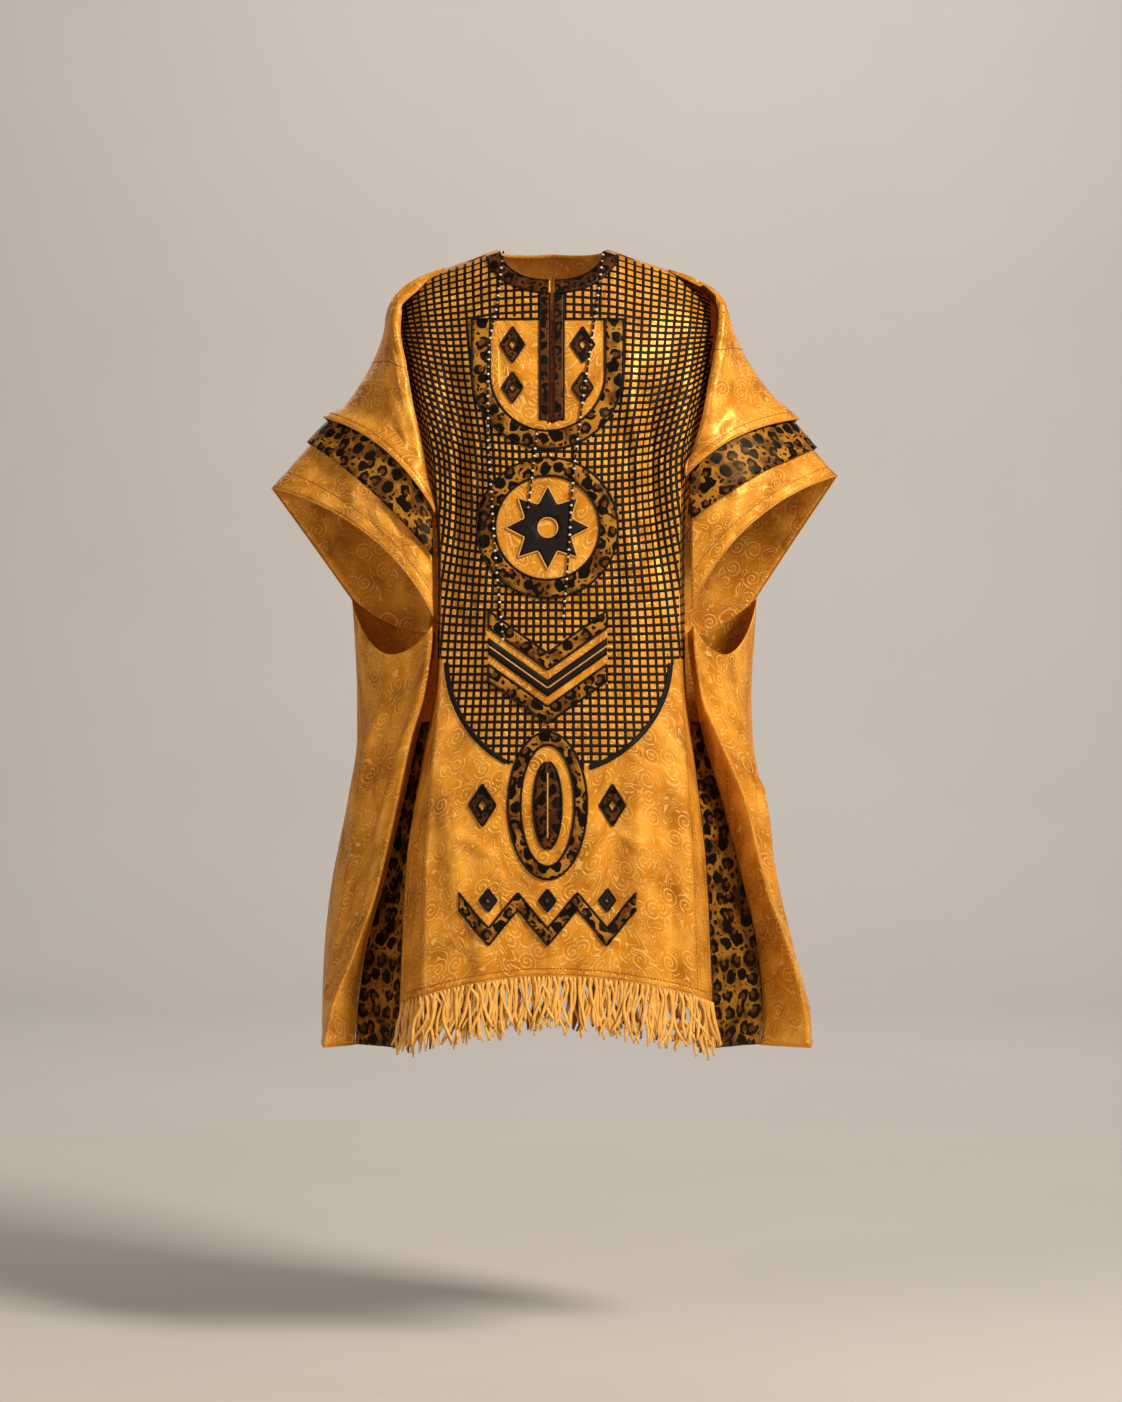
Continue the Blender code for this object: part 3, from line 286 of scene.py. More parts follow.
LATTICE_PITCH = 0.0113
LATTICE_LINE = 0.0021  # half of a line's width
LATTICE_HIGH = 0.00045
LATTICE_FOOT = -0.775
LATTICE_ROWS = 70
# the lattice is drawn towards the armpits: how far in and up at most, and over what height
ARMPIT_Z, ARMPIT_REACH, DRAWN_IN, DRAWN_UP = -0.310, 0.190, 0.22, 0.085

STITCH_PITCH = 0.0048
STITCH_SHARE = 0.62

FRINGE_STRANDS = 268
FRINGE_LONG = 0.084
FRINGE_THICK = 0.0025
FRINGE_LEAN, FRINGE_FLARE, FRINGE_CURVE, FRINGE_WAVE = 0.0110, 0.024, 0.0058, 0.0026

# beaded lines couched down on the front, as x, z
BEADED_LINES = (
    ((-0.070, -0.010), (-0.078, -0.088), (-0.0894, -0.159), (-0.0907, -0.230), (-0.087, -0.330),
     (-0.080, -0.450), (-0.0694, -0.571)),
    ((0.074, -0.010), (0.0644, -0.088), (0.0544, -0.159), (0.0402, -0.258), (0.0302, -0.344),
     (0.0231, -0.458), (0.016, -0.543)),
    ((-0.021, -0.273), (-0.027, -0.330), (-0.0338, -0.3865)),
)
BEAD_PITCH = 0.0105
BEAD_SIZE = 0.0023

# the photo: half its height in pixels, the size of a pixel at the shoulders, and how far the camera stands
PHOTO_HALF_HIGH, PIXEL, CAMERA_OFF = 701, 0.00146, 5.0
CAMERA_X, CAMERA_Z = 0.013, -0.658
SENSOR_HIGH = 24.0  # in millimetres
FLOOR_SIZE, FLOOR_Y, FLOOR_Z = 14.0, 1.0, -1.605
BACKDROP_HIGH, BACKDROP_ROUND = 7.0, 2.4
# each light: place, what it looks at, size, power and colour
LIGHTS = {
    "key": ((2.9, -2.7, 2.1), (0.0, 0.0, -0.45), (1.1, 1.4), 286, "FFF8EE"),
    "fill": ((-3.0, -2.8, 0.9), (0.0, 0.0, -0.6), (1.2, 1.6), 43, "FFEEDA"),
    "rim": ((-1.5, 2.8, 1.4), (0.0, 0.0, -0.4), (1.2, 1.2), 11, "FFF0DC"),
    "backdrop": ((0.6, 3.6, 3.6), (0.0, 8.0, -0.2), (5.0, 2.0), 188, "FAF8F6"),
}

rolling = np.random.default_rng(7)


# Shapes: every surface is a function of shares across and heights, given as arrays

def slopes(at, value):
    """Slopes of a curve that never passes beyond its own points."""
    step = np.diff(at)
    rise = np.diff(value) / step
    out = np.zeros(len(at))
    out[0], out[-1] = rise[0], rise[-1]
    for i in range(1, len(at) - 1):
        if rise[i - 1] * rise[i] > 0:
            out[i] = 2 * rise[i - 1] * rise[i] / (rise[i - 1] + rise[i])
    return out


class Table:
    """Rows with named columns, read smoothly between the rows by the first column."""

    def __init__(self, names, rows):
        rows = sorted(rows)
        self.at = np.array([row[0] for row in rows])
        self.value = {name: np.array([row[i] for row in rows]) for i, name in enumerate(names)}
        self.slope = {name: slopes(self.at, column) for name, column in self.value.items()}

    def read(self, name, at):
        at = np.clip(np.asarray(at, dtype=float), self.at[0], self.at[-1])
        i = np.clip(np.searchsorted(self.at, at, side="right") - 1, 0, len(self.at) - 2)
        step = self.at[i + 1] - self.at[i]
        t = (at - self.at[i]) / step
        value, slope = self.value[name], self.slope[name]
        return (
            (1 + 2 * t) * (1 - t) ** 2 * value[i]
            + t * (1 - t) ** 2 * step * slope[i]
            + t * t * (3 - 2 * t) * value[i + 1]
            + t * t * (t - 1) * step * slope[i + 1]
        )


shoulder = Table(SHOULDER_COLUMNS, SHOULDER)
front = Table(FRONT_COLUMNS, FRONT)
trough = Table(TROUGH_COLUMNS, TROUGH)
back = Table(BACK_COLUMNS, BACK)
sleeve = Table(SLEEVE_COLUMNS, SLEEVE)


def points(x, y, z):
    return np.stack(np.broadcast_arrays(x, y, z), axis=-1).astype(float)


def by_side(table, name, x, z):
    return np.where(np.asarray(x) < 0, table.read(name + "_left", z), table.read(name + "_right", z))


def ease(share):
    share = np.clip(share, 0.0, 1.0)
    return share * share * (3 - 2 * share)


def unit(vectors):
    return vectors / np.maximum(np.linalg.norm(vectors, axis=-1, keepdims=True), 1e-12)


def ridge_z(x):
    return shoulder.read("z", np.abs(x) / np.where(np.asarray(x) > 0, RIGHT_SHOULDER_WIDER, 1.0))


def turn_down(x, z):
    """0 on the shoulder line, rising to 1 where the cloth hangs straight."""
    drop = np.maximum(ridge_z(x) - z, 0.0)
    return (1 - np.exp(-drop / SHOULDER_ROUND)) ** 0.62


def press_marks(creases, across, down):
    """The height of a set of creases: each a soft line with a shallow hollow beside it."""
    total = np.zeros(np.broadcast(across, down).shape)
    for a0, d0, a1, d1, wide, high in creases:
        run = (a1 - a0, d1 - d0)
        size = math.hypot(*run)
        t = np.clip(((across - a0) * run[0] + (down - d0) * run[1]) / size ** 2, 0, 1)
        off_a, off_d = across - (a0 + run[0] * t), down - (d0 + run[1] * t)
        off = np.hypot(off_a, off_d)
        signed = (off_a * run[1] - off_d * run[0]) / size
        hollow = np.exp(-(((signed - 1.7 * wide) / wide) ** 2) - (off / (3 * wide)) ** 4)
        shape = np.exp(-((off / wide) ** 2)) - 0.45 * hollow
        total = total + high * shape * (0.25 + 0.75 * np.sin(math.pi * t))
    return total


def front_x(s, z):
    s = np.asarray(s, dtype=float)
    corner, end = by_side(front, "corner", s, z), by_side(front, "end", s, z)
    share = np.abs(s) / CORNER_AT
    beyond = corner + (end - corner) * (np.abs(s) - CORNER_AT) / (1 - CORNER_AT)
    return np.copysign(np.where(share <= 1, corner * share, beyond), s)


def front_s(x, z):
    corner, end = by_side(front, "corner", x, z), by_side(front, "end", x, z)
    inside = CORNER_AT * np.abs(x) / corner
    beyond = CORNER_AT + (1 - CORNER_AT) * (np.abs(x) - corner) / np.maximum(end - corner, 1e-6)
    return np.copysign(np.minimum(np.where(np.abs(x) <= corner, inside, beyond), 1.0), x)


def front_depth(s, z):
    """How far the front panel lies before the shoulder line, as a negative y."""
    x = front_x(s, z)
    middle, corner = front.read("y_middle", z), front.read("y_corner", z)
    share = np.minimum(np.abs(s) / CORNER_AT, 1.0)
    y = middle + (corner - middle) * share ** 3.2
    past = np.clip((np.abs(s) - CORNER_AT) / (1 - CORNER_AT), 0, None)
    y = y + (front.read("y_end", z) - corner) * past ** 1.15
    here = trough.read("x", z) * np.where(x > 0, 1.1, 1.0)
    y = y + trough.read("deep", z) * np.exp(-(((np.abs(x) - here) / trough.read("wide", z)) ** 2))
    lower = ease((-0.55 - z) / 0.5)
    y = y - 0.0025 * lower * np.cos(4.4 * math.pi * s) * (1 - share ** 4)
    return y * turn_down(x, z)


def front_cloth(x, z):
    """y of the worn front: its hang with the creases, which die out under the sleeves and at the edges."""
    s = front_s(x, z)
    free = 1 - ease((np.abs(s) - np.where(z > -0.58, 0.66, 0.88)) / 0.12)
    below = ease((ridge_z(x) - z - 0.02) / 0.08)
    return front_depth(s, z) + press_marks(FRONT_CREASES, x, z) * free * below


def on_front(x, z, lift):
    """Points of the front at places across and heights, moved out by lift."""
    x, z = np.broadcast_arrays(np.asarray(x, dtype=float), np.asarray(z, dtype=float))
    return points(x, front_cloth(x, z), z) + front_out(x, z) * np.asarray(lift)[..., None]


def front_out(x, z):
    """The way out of the front's face."""
    near = 0.0015
    along = (front_cloth(x + near, z) - front_cloth(x - near, z)) / (2 * near)
    rise = (front_cloth(x, z + near) - front_cloth(x, z - near)) / (2 * near)
    return unit(points(along, -1.0, rise))


def neckline_z(x, drop):
    share = np.minimum(np.abs(x) / NECK_HALF, 1.0)
    return ridge_z(x) - drop * np.sqrt(1 - share * share)


def shoulder_x(s):
    """Where a share across the front lies on the shoulder line."""
    return SHOULDER_HALF * np.where(np.asarray(s) > 0, RIGHT_SHOULDER_WIDER, 1.0) * s


def front_place(s, t):
    """x and z of the front at a share across and a share down from neck or shoulder to hem."""
    top = neckline_z(shoulder_x(s), NECK_DROP_FRONT)
    hem = HEM_FRONT_MIDDLE + (HEM_FRONT_SIDE - HEM_FRONT_MIDDLE) * np.abs(s) ** 2
    z = top + (hem - top) * t
    return front_x(s, z), z


def back_folds(s, z):
    hang = ease((-0.22 - z) / 0.9)
    spread = 1 - ease((np.abs(s) - 0.5) / 0.14)
    return BACK_FOLD_DEEP * hang * spread * np.cos(BACK_FOLDS * math.pi * s + 0.4 * np.sin(5 * s))


def back_point(s, z):
    """The back panel: middle, back seam, outer fold, front fold, and in to the gusset."""
    s, z = np.broadcast_arrays(np.asarray(s, dtype=float), np.asarray(z, dtype=float))
    a = np.abs(s)
    seam_x, seam_y = by_side(back, "seam", s, z), back.read("y_seam", z)
    outer_x, outer_y = by_side(back, "outer", s, z), back.read("y_outer", z)
    fold_x, fold_y = by_side(back, "fold", s, z), back.read("y_fold", z)
    edge_x, edge_y = by_side(back, "edge", s, z), back.read("y_edge", z)
    middle = back.read("y_middle", z)
    share = np.clip(a / SEAM_AT, 0, 1)
    first = np.clip((a - SEAM_AT) / (OUTER_AT - SEAM_AT), 0, 1)
    second = np.clip((a - OUTER_AT) / (FOLD_AT - OUTER_AT), 0, 1)
    third = np.clip((a - FOLD_AT) / (1 - FOLD_AT), 0, 1)
    part = [a <= SEAM_AT, a <= OUTER_AT, a <= FOLD_AT]
    x = np.select(part, [
        seam_x * share,
        seam_x + (outer_x - seam_x) * np.sin(first * math.pi / 2) ** 0.9,
        outer_x + (fold_x - outer_x) * second ** 1.3,
    ], fold_x + (edge_x - fold_x) * third)
    y = np.select(part, [
        middle + (seam_y - middle) * share ** 2.4,
        outer_y + (seam_y - outer_y) * (1 - first ** 1.5),
        outer_y + (fold_y - outer_y) * second ** 0.85,
    ], fold_y + (edge_y - fold_y) * third)
    x = np.copysign(x, s)
    y = y + back_folds(s, z)
    return points(x, np.where(a <= SEAM_AT, y * turn_down(x, z), y), z)


def back_depth(x, z):
    """y of the back at places across, and not a number well beyond its side."""
    x, z = np.broadcast_arrays(np.asarray(x, dtype=float), np.asarray(z, dtype=float))
    high = np.where(z > WING_TOP, SEAM_AT, OUTER_AT)
    low = np.zeros_like(high)
    reach = np.abs(back_point(np.copysign(high, x), z)[..., 0])
    beyond = reach < np.abs(x) - 0.008
    inside = np.copysign(np.minimum(np.abs(x), reach), x)
    for _ in range(22):
        half = (low + high) / 2
        short = np.abs(back_point(np.copysign(half, x), z)[..., 0]) < np.abs(inside)
        low, high = np.where(short, half, low), np.where(short, high, half)
    return np.where(beyond, np.nan, back_point(np.copysign(high, x), z)[..., 1])


def front_slopes(x, z):
    near = 0.0015
    y = front_depth(front_s(x, z), z)
    along = front_depth(front_s(x + near, z), z) - front_depth(front_s(x - near, z), z)
    rise = front_depth(front_s(x, z + near), z + near) - front_depth(front_s(x, z - near), z - near)
    return y, along / (2 * near), rise / (2 * near)


def keep_outside(point, face, clear):
    """Moves a sleeve's points off the panel that they would sink into."""
    x, y, z = point[..., 0], point[..., 1], point[..., 2]
    line = ridge_z(x)
    above = z > line
    here, along, rise = front_slopes(x, z)
    before = np.minimum(y, here - np.minimum(clear * np.sqrt(1 + along ** 2 + rise ** 2), FARTHEST_OFF))
    in_front = ~above & (face < 0) & (np.abs(x) < by_side(front, "end", x, z))
    panel, beside = back_depth(x, z), back_depth(x * (1 - SLOPE_STEP), z)
    slope = (panel - beside) / (SLOPE_STEP * np.abs(x))
    behind = np.maximum(y, panel + clear * np.minimum(np.sqrt(1 + slope ** 2), STEEPEST_BACK))
    at_back = ~above & (face > 0) & ~np.isnan(panel)
    y = np.where(in_front, before, np.where(at_back, behind, y))
    # past the shoulder seam's end there is no panel to lie on
    beyond = ease((np.abs(x) - SHOULDER_HALF * np.where(x > 0, RIGHT_SHOULDER_WIDER, 1.0)) / 0.012)
    raised = np.maximum(z, line + clear * SHOULDER_SLOPE)
    return points(x, y, np.where(above, raised + (z - raised) * beyond, z))


def lift_at(stage):
    """How far off the panel the sleeve's cloth lies: close at its start on the shoulder."""
    return LIFT * (LIFT_AT_START + (1 - LIFT_AT_START) * ease(stage / 1.5))


def sleeve_middle(side, around, stage):
    """The innermost layer of the sleeve: 0 at its front edge, 0.5 on its ridge, 1 at its back edge."""
    sign = -1 if side == "left" else 1
    around, stage = np.broadcast_arrays(np.asarray(around, dtype=float), np.asarray(stage, dtype=float))
    ridge = points(sign * sleeve.read("ridge_" + side, stage), RIDGE_Y, sleeve.read("ridge_z_" + side, stage))
    in_front = around <= 0.5
    reach, back_z = sleeve.read("edge_" + side, stage), sleeve.read("back_z", stage)
    beside = back.read("seam_" + side, back_z) - BACK_EDGE_LAP
    least = np.minimum(reach, beside)
    back_reach = least + (beside - least) * ease(stage - 2.5)
    before = points(sign * reach, sleeve.read("edge_y", stage), sleeve.read("edge_z_" + side, stage))
    behind = points(sign * back_reach, back_depth(sign * back_reach, back_z) + BACK_EDGE_OFF, back_z)
    edge = np.where(in_front[..., None], before, behind)
    hollow = np.where(in_front, sleeve.read("round_front", stage), sleeve.read("round_back", stage))
    face = np.where(in_front, -1.0, 1.0)
    t = np.abs(around - 0.5) * 2
    over, down = np.sin(t * math.pi / 2), 1 - np.cos(t * math.pi / 2)
    shares = points(t + hollow * (over - t), over ** 0.8, t + hollow * (down - t))
    point = ridge + (edge - ridge) * shares
    point[..., 1] += face * sleeve.read("belly", stage) * np.sin(math.pi * t)
    return keep_outside(point, face, lift_at(stage))


def sleeve_point(side, around, stage, out):
    """A layer of the sleeve, moved out square to the innermost one."""
    sign = -1 if side == "left" else 1
    around, stage = np.broadcast_arrays(np.asarray(around, dtype=float), np.asarray(stage, dtype=float))
    low, high = np.maximum(around - 0.02, 0.0), np.minimum(around + 0.02, 1.0)
    up, down = np.maximum(stage - 0.15, 0.0), np.minimum(stage + 0.15, 10.0)
    along = sleeve_middle(side, high, stage) - sleeve_middle(side, low, stage)
    fall = sleeve_middle(side, around, down) - sleeve_middle(side, around, up)
    out = np.broadcast_to(out, around.shape)
    point = sleeve_middle(side, around, stage) + unit(np.cross(fall, along)) * (sign * out)[..., None]
    kept = keep_outside(point, np.where(around <= 0.5, -1.0, 1.0), lift_at(stage) + out)
    return np.where(((stage < 4.0) | (around <= 0.5))[..., None], kept, point)


def wing_top(s):
    """Height of the side opening's edge: it rises to the outer fold, dips, and comes up to the front fold."""
    a = np.abs(s)
    turn = np.clip((a - OUTER_AT) / (FOLD_AT - OUTER_AT), 0, 1)
    return np.select([a <= SEAM_AT, a <= OUTER_AT, a <= FOLD_AT], [
        WING_TOP + 0 * a,
        WING_TOP + WING_RISE * ease((a - SEAM_AT) / (OUTER_AT - SEAM_AT)),
        WING_TOP + WING_RISE + (WING_END - WING_RISE) * turn - WING_DIP * np.sin(math.pi * turn) ** 0.8,
    ], WING_TOP + WING_END - 0.010 * (a - FOLD_AT) / (1 - FOLD_AT))


def back_hem_z(s):
    return HEM_BACK_MIDDLE + (HEM_BACK_SIDE - HEM_BACK_MIDDLE) * ease(np.abs(s) / 0.75)


def wing_point(s, share):
    """A point of the back below the side openings, at a share of the way down to its hem."""
    top = wing_top(s)
    return back_point(s, top + (back_hem_z(s) - top) * share)


# Making: a grid of points becomes a sheet, and a path becomes a cord or a thread

def finish_piece(name, vertices, faces, finish, uv=None):
    """A mesh object in a finish, riding the robe's one body."""
    mesh = bpy.data.meshes.new(name)
    mesh.from_pydata(np.asarray(vertices).tolist(), [], faces)
    if uv is not None:
        layer = mesh.uv_layers.new(name="cut")
        corner = np.empty(len(mesh.loops), dtype=np.int32)
        mesh.loops.foreach_get("vertex_index", corner)
        layer.data.foreach_set("uv", np.asarray(uv, dtype=np.float32)[corner].ravel())
    mesh.polygons.foreach_set("use_smooth", [True] * len(mesh.polygons))
    mesh.materials.append(MATERIALS[finish])
    mesh.update()
    piece = bpy.data.objects.new(name, mesh)
    bpy.context.scene.collection.objects.link(piece)
    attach(piece, "root")
    return piece


def cut_sizes(grid, cells):
    """How long a grid is across and down its middle, laid flat, and its area."""
    across = np.linalg.norm(np.diff(grid, axis=1), axis=2).sum(axis=1).max()
    down = np.median(np.linalg.norm(np.diff(grid, axis=0), axis=2).sum(axis=0))
    a, b, c, d = (grid[:-1, :-1], grid[:-1, 1:], grid[1:, 1:], grid[1:, :-1])
    areas = (np.linalg.norm(np.cross(c - a, d - b), axis=2) / 2)[cells]
    return float(across), float(down), float(areas.sum())


def sheet_of(name, grid, finish, out, thick=CLOTH, keep=None, closed=False, held="hung", node=None, cut=True,
             straight=False):
    """A thin closed sheet through a grid of points. out is a way that its face looks; straight keeps its
    print upright."""
    grid = np.asarray(grid, dtype=float)
    if closed:
        grid = np.concatenate([grid, grid[:, :1]], axis=1)
    rows, columns = grid.shape[:2]
    cells = np.ones((rows - 1, columns - 1), dtype=bool) if keep is None else keep
    step_u = np.linalg.norm(np.diff(grid, axis=1), axis=2)
    u = np.concatenate([np.zeros((rows, 1)), np.cumsum(step_u, axis=1)], axis=1)
    u = u - u[:, columns // 2][:, None]
    step_v = np.linalg.norm(np.diff(grid, axis=0), axis=2)
    v = np.concatenate([np.zeros((1, columns)), -np.cumsum(step_v, axis=0)], axis=0)
    v = v.mean(axis=1, keepdims=True) * 0.5 + v * 0.5
    used = columns - 1 if closed else columns
    number = np.arange(rows)[:, None] * used + (np.arange(columns) % used)[None, :]
    i, j = np.nonzero(cells)
    faces = np.stack([number[i, j], number[i, j + 1], number[i + 1, j + 1], number[i + 1, j]], axis=1)
    normal = np.cross(grid[i + 1, j + 1] - grid[i, j], grid[i + 1, j] - grid[i, j + 1])
    if np.einsum("ij,ij->", unit(normal), np.broadcast_to(out, normal.shape)) < 0:
        faces = faces[:, ::-1]
    vertices = grid[:, :used].reshape(-1, 3)
    uv = np.stack([u[:, :used], v[:, :used]], axis=-1).reshape(-1, 2)
    if straight:
        uv = vertices[:, [0, 2]]
    wanted = np.unique(faces)
    index = np.full(len(vertices), -1)
    index[wanted] = np.arange(len(wanted))
    piece = finish_piece(name, vertices[wanted], index[faces].tolist(), finish, uv[wanted])
    shell = piece.modifiers.new("thickness", "SOLIDIFY")
    shell.thickness = thick
    shell.offset = 0.0
    if node:
        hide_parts(node)
    if cut:
        wide, long, area = cut_sizes(grid, cells)
        if closed:
            wide, long = np.ptp(grid[..., 0]), np.ptp(grid[..., 2])
        DECLARED.append((piece, wide, long, area, held))
    return piece


def resampled(path, pitch):
    """The same path with its points a pitch apart."""
    path = np.asarray(path, dtype=float)
    run = np.concatenate([[0.0], np.cumsum(np.linalg.norm(np.diff(path, axis=0), axis=1))])
    count = max(int(round(run[-1] / pitch)), 1)
    at = np.linspace(0, run[-1], count + 1)
    return np.stack([np.interp(at, run, path[:, k]) for k in range(path.shape[1])], axis=1)


def cords(name, paths, finish, across, high=None, ups=None, sides=6, taper=None):
    """Closed round or flattened cords along paths, all in one piece."""
    high = across if high is None else high
    turns = 2 * math.pi * np.arange(sides) / sides
    vertices, faces, start = [], [], 0
    for number, path in enumerate(paths):
        path = np.asarray(path, dtype=float)
        way = unit(np.gradient(path, axis=0))
        up = np.array((0.0, -1.0, 0.12)) if ups is None else ups[number]
        side = unit(np.cross(np.broadcast_to(up, way.shape), way))
        up = np.cross(way, side)
        size = np.ones(len(path)) if taper is None else np.interp(np.linspace(0, 1, len(path)), *taper)
        ring = (side[:, None, :] * np.cos(turns)[None, :, None] * across
                + up[:, None, :] * np.sin(turns)[None, :, None] * high)
        vertices.append((path[:, None, :] + ring * size[:, None, None]).reshape(-1, 3))
        i = np.arange(len(path) - 1)[:, None]
        k = np.arange(sides)[None, :]
        after = (k + 1) % sides
        here, there = i * sides, (i + 1) * sides
        quads = np.stack([here + k, here + after, there + after, there + k], axis=2)
        faces.extend((quads.reshape(-1, 4) + start).tolist())
        faces.append(list(range(start + sides - 1, start - 1, -1)))
        last = start + (len(path) - 1) * sides
        faces.append(list(range(last, last + sides)))
        start += len(path) * sides
    return finish_piece(name, np.concatenate(vertices), faces, finish)


def stitch_row(path):
    """Short threads along a path, end to end with a gap between them."""
    path = resampled(path, STITCH_PITCH / 4)
    out = []
    for k in range(0, len(path) - 4, 4):
        piece = path[k:k + 4]
        middle = piece.mean(axis=0)
        out.append(middle + (piece - middle) * STITCH_SHARE * 4 / 3)
    return out


# Materials

def linear(hexadecimal):
    """An sRGB hex colour as linear values."""
    parts = [int(hexadecimal[i:i + 2], 16) / 255 for i in (0, 2, 4)]
    return tuple(p / 12.92 if p <= 0.04045 else ((p + 0.055) / 1.055) ** 2.4 for p in parts) + (1.0,)


def node(tree, kind, settings, inputs):
    """Adds a node; an input is linked if it is given a node or a socket, and set if it is given a value."""
    made = tree.nodes.new(kind)
    for key, value in settings.items():
        setattr(made, key, value)
    for key, value in inputs.items():
        if isinstance(value, bpy.types.Node):
            value = value.outputs[0]
        if isinstance(value, bpy.types.NodeSocket):
            tree.links.new(value, made.inputs[key])
        else:
            made.inputs[key].default_value = value
    return made


def new_material(name):
    made = bpy.data.materials.new(name)
    made.use_nodes = True
    tree = made.node_tree
    shader = tree.nodes["Principled BSDF"]
    return made, tree, shader


def glazed_brocade(name, deep, base, bright, line):
    """Glazed cotton damask: tone-on-tone scrolls that catch the light, over a fine weave."""
    made, tree, shader = new_material(name)
    cut = node(tree, "ShaderNodeTexCoord", {}, {}).outputs["UV"]
    # curling lines 5 to 8 mm apart that turn round each other
    field = node(tree, "ShaderNodeTexNoise", {"noise_dimensions": "2D"},
                 {"Vector": cut, "Scale": 25.0, "Detail": 0.8, "Distortion": 1.3})
    bands = node(tree, "ShaderNodeMath", {"operation": "MULTIPLY"}, {0: field.outputs["Fac"], 1: 10.0})
    folded = node(tree, "ShaderNodeMath", {"operation": "PINGPONG"}, {0: bands, 1: 0.5})
    curls = node(tree, "ShaderNodeMapRange", {"interpolation_type": "SMOOTHSTEP"},
                 {"Value": folded, "From Min": 0.135, "From Max": 0.085})
    thin = node(tree, "ShaderNodeTexNoise", {"noise_dimensions": "2D"},
                {"Vector": cut, "Scale": 62.0, "Detail": 1.0})
    broken = node(tree, "ShaderNodeMapRange", {"interpolation_type": "SMOOTHSTEP"},
                  {"Value": thin.outputs["Fac"], "From Min": 0.33, "From Max": 0.43})
    # between them stand scrolls up to 31 mm across, with 6.6 mm from turn to turn, each turned its own way
    cell = node(tree, "ShaderNodeTexVoronoi", {"voronoi_dimensions": "2D"},
                {"Vector": cut, "Scale": 1 / 0.031, "Randomness": 1.0})
    local = node(tree, "ShaderNodeVectorMath", {"operation": "SUBTRACT"},
                 {0: cut, 1: cell.outputs["Position"]})
    split = node(tree, "ShaderNodeSeparateXYZ", {}, {0: local})
    reach = node(tree, "ShaderNodeVectorMath", {"operation": "LENGTH"}, {0: local})
    turn = node(tree, "ShaderNodeMath", {"operation": "ARCTAN2"}, {0: split.outputs[1], 1: split.outputs[0]})
    chance = node(tree, "ShaderNodeSeparateColor", {}, {0: cell.outputs["Color"]})
    hand = node(tree, "ShaderNodeMath", {"operation": "SIGN"},
                {0: node(tree, "ShaderNodeMath", {"operation": "SUBTRACT"},
                         {0: chance.outputs[0], 1: 0.5})})
    curl = node(tree, "ShaderNodeMath", {"operation": "MULTIPLY"}, {0: turn, 1: hand})
    phase = node(tree, "ShaderNodeMath", {"operation": "MULTIPLY_ADD"},
                 {0: reach.outputs["Value"], 1: 2 * math.pi / 0.0066, 2: curl})
    start = node(tree, "ShaderNodeMath", {"operation": "MULTIPLY_ADD"},
                 {0: chance.outputs[1], 1: 2 * math.pi, 2: phase})
    wave = node(tree, "ShaderNodeMath", {"operation": "SINE"}, {0: start})
    scroll = node(tree, "ShaderNodeMapRange", {"interpolation_type": "SMOOTHSTEP"},
                  {"Value": wave, "From Min": 0.50, "From Max": 0.84})
    # two cells in three have their scroll
    size = node(tree, "ShaderNodeMapRange", {"interpolation_type": "STEPPED"},
                {"Value": chance.outputs[2], "From Min": 0.35, "From Max": 0.36, "Steps": 1.0,
                 "To Min": 0.0, "To Max": 0.0155})
    within = node(tree, "ShaderNodeMath", {"operation": "SUBTRACT"}, {0: size, 1: reach.outputs["Value"]})
    inside = node(tree, "ShaderNodeMapRange", {"interpolation_type": "SMOOTHSTEP"},
                  {"Value": within, "From Min": 0.0, "From Max": 0.0012})
    outside = node(tree, "ShaderNodeMath", {"operation": "SUBTRACT"}, {0: 1.0, 1: inside})
    lines = node(tree, "ShaderNodeMath", {"operation": "MULTIPLY"}, {0: curls, 1: outside})
    scrolls = node(tree, "ShaderNodeMath", {"operation": "MULTIPLY"}, {0: scroll, 1: inside})
    both = node(tree, "ShaderNodeMath", {"operation": "MAXIMUM"}, {0: lines, 1: scrolls})
    motif = node(tree, "ShaderNodeMath", {"operation": "MULTIPLY"}, {0: both, 1: broken})
    # the ground runs from amber to bright gold in soft clouds, as glazed cloth does after folding
    cloud = node(tree, "ShaderNodeTexNoise", {"noise_dimensions": "2D"},
                 {"Vector": cut, "Scale": 19.0, "Detail": 3.0, "Roughness": 0.50})
    ground = node(tree, "ShaderNodeValToRGB", {}, {"Fac": cloud.outputs["Fac"]})
    stops = ground.color_ramp.elements
    stops[0].position, stops[0].color = 0.28, linear(deep)
    stops[1].position, stops[1].color = 0.72, linear(bright)
    middle = stops.new(0.50)
    middle.color = linear(base)
    strength = node(tree, "ShaderNodeMath", {"operation": "MULTIPLY"}, {0: motif, 1: 0.55})
    colour = node(tree, "ShaderNodeMix", {"data_type": "RGBA"},
                  {0: strength, 6: ground, 7: linear(line)})
    rough = node(tree, "ShaderNodeMapRange", {},
                 {"Value": motif, "To Min": 0.37, "To Max": 0.28})
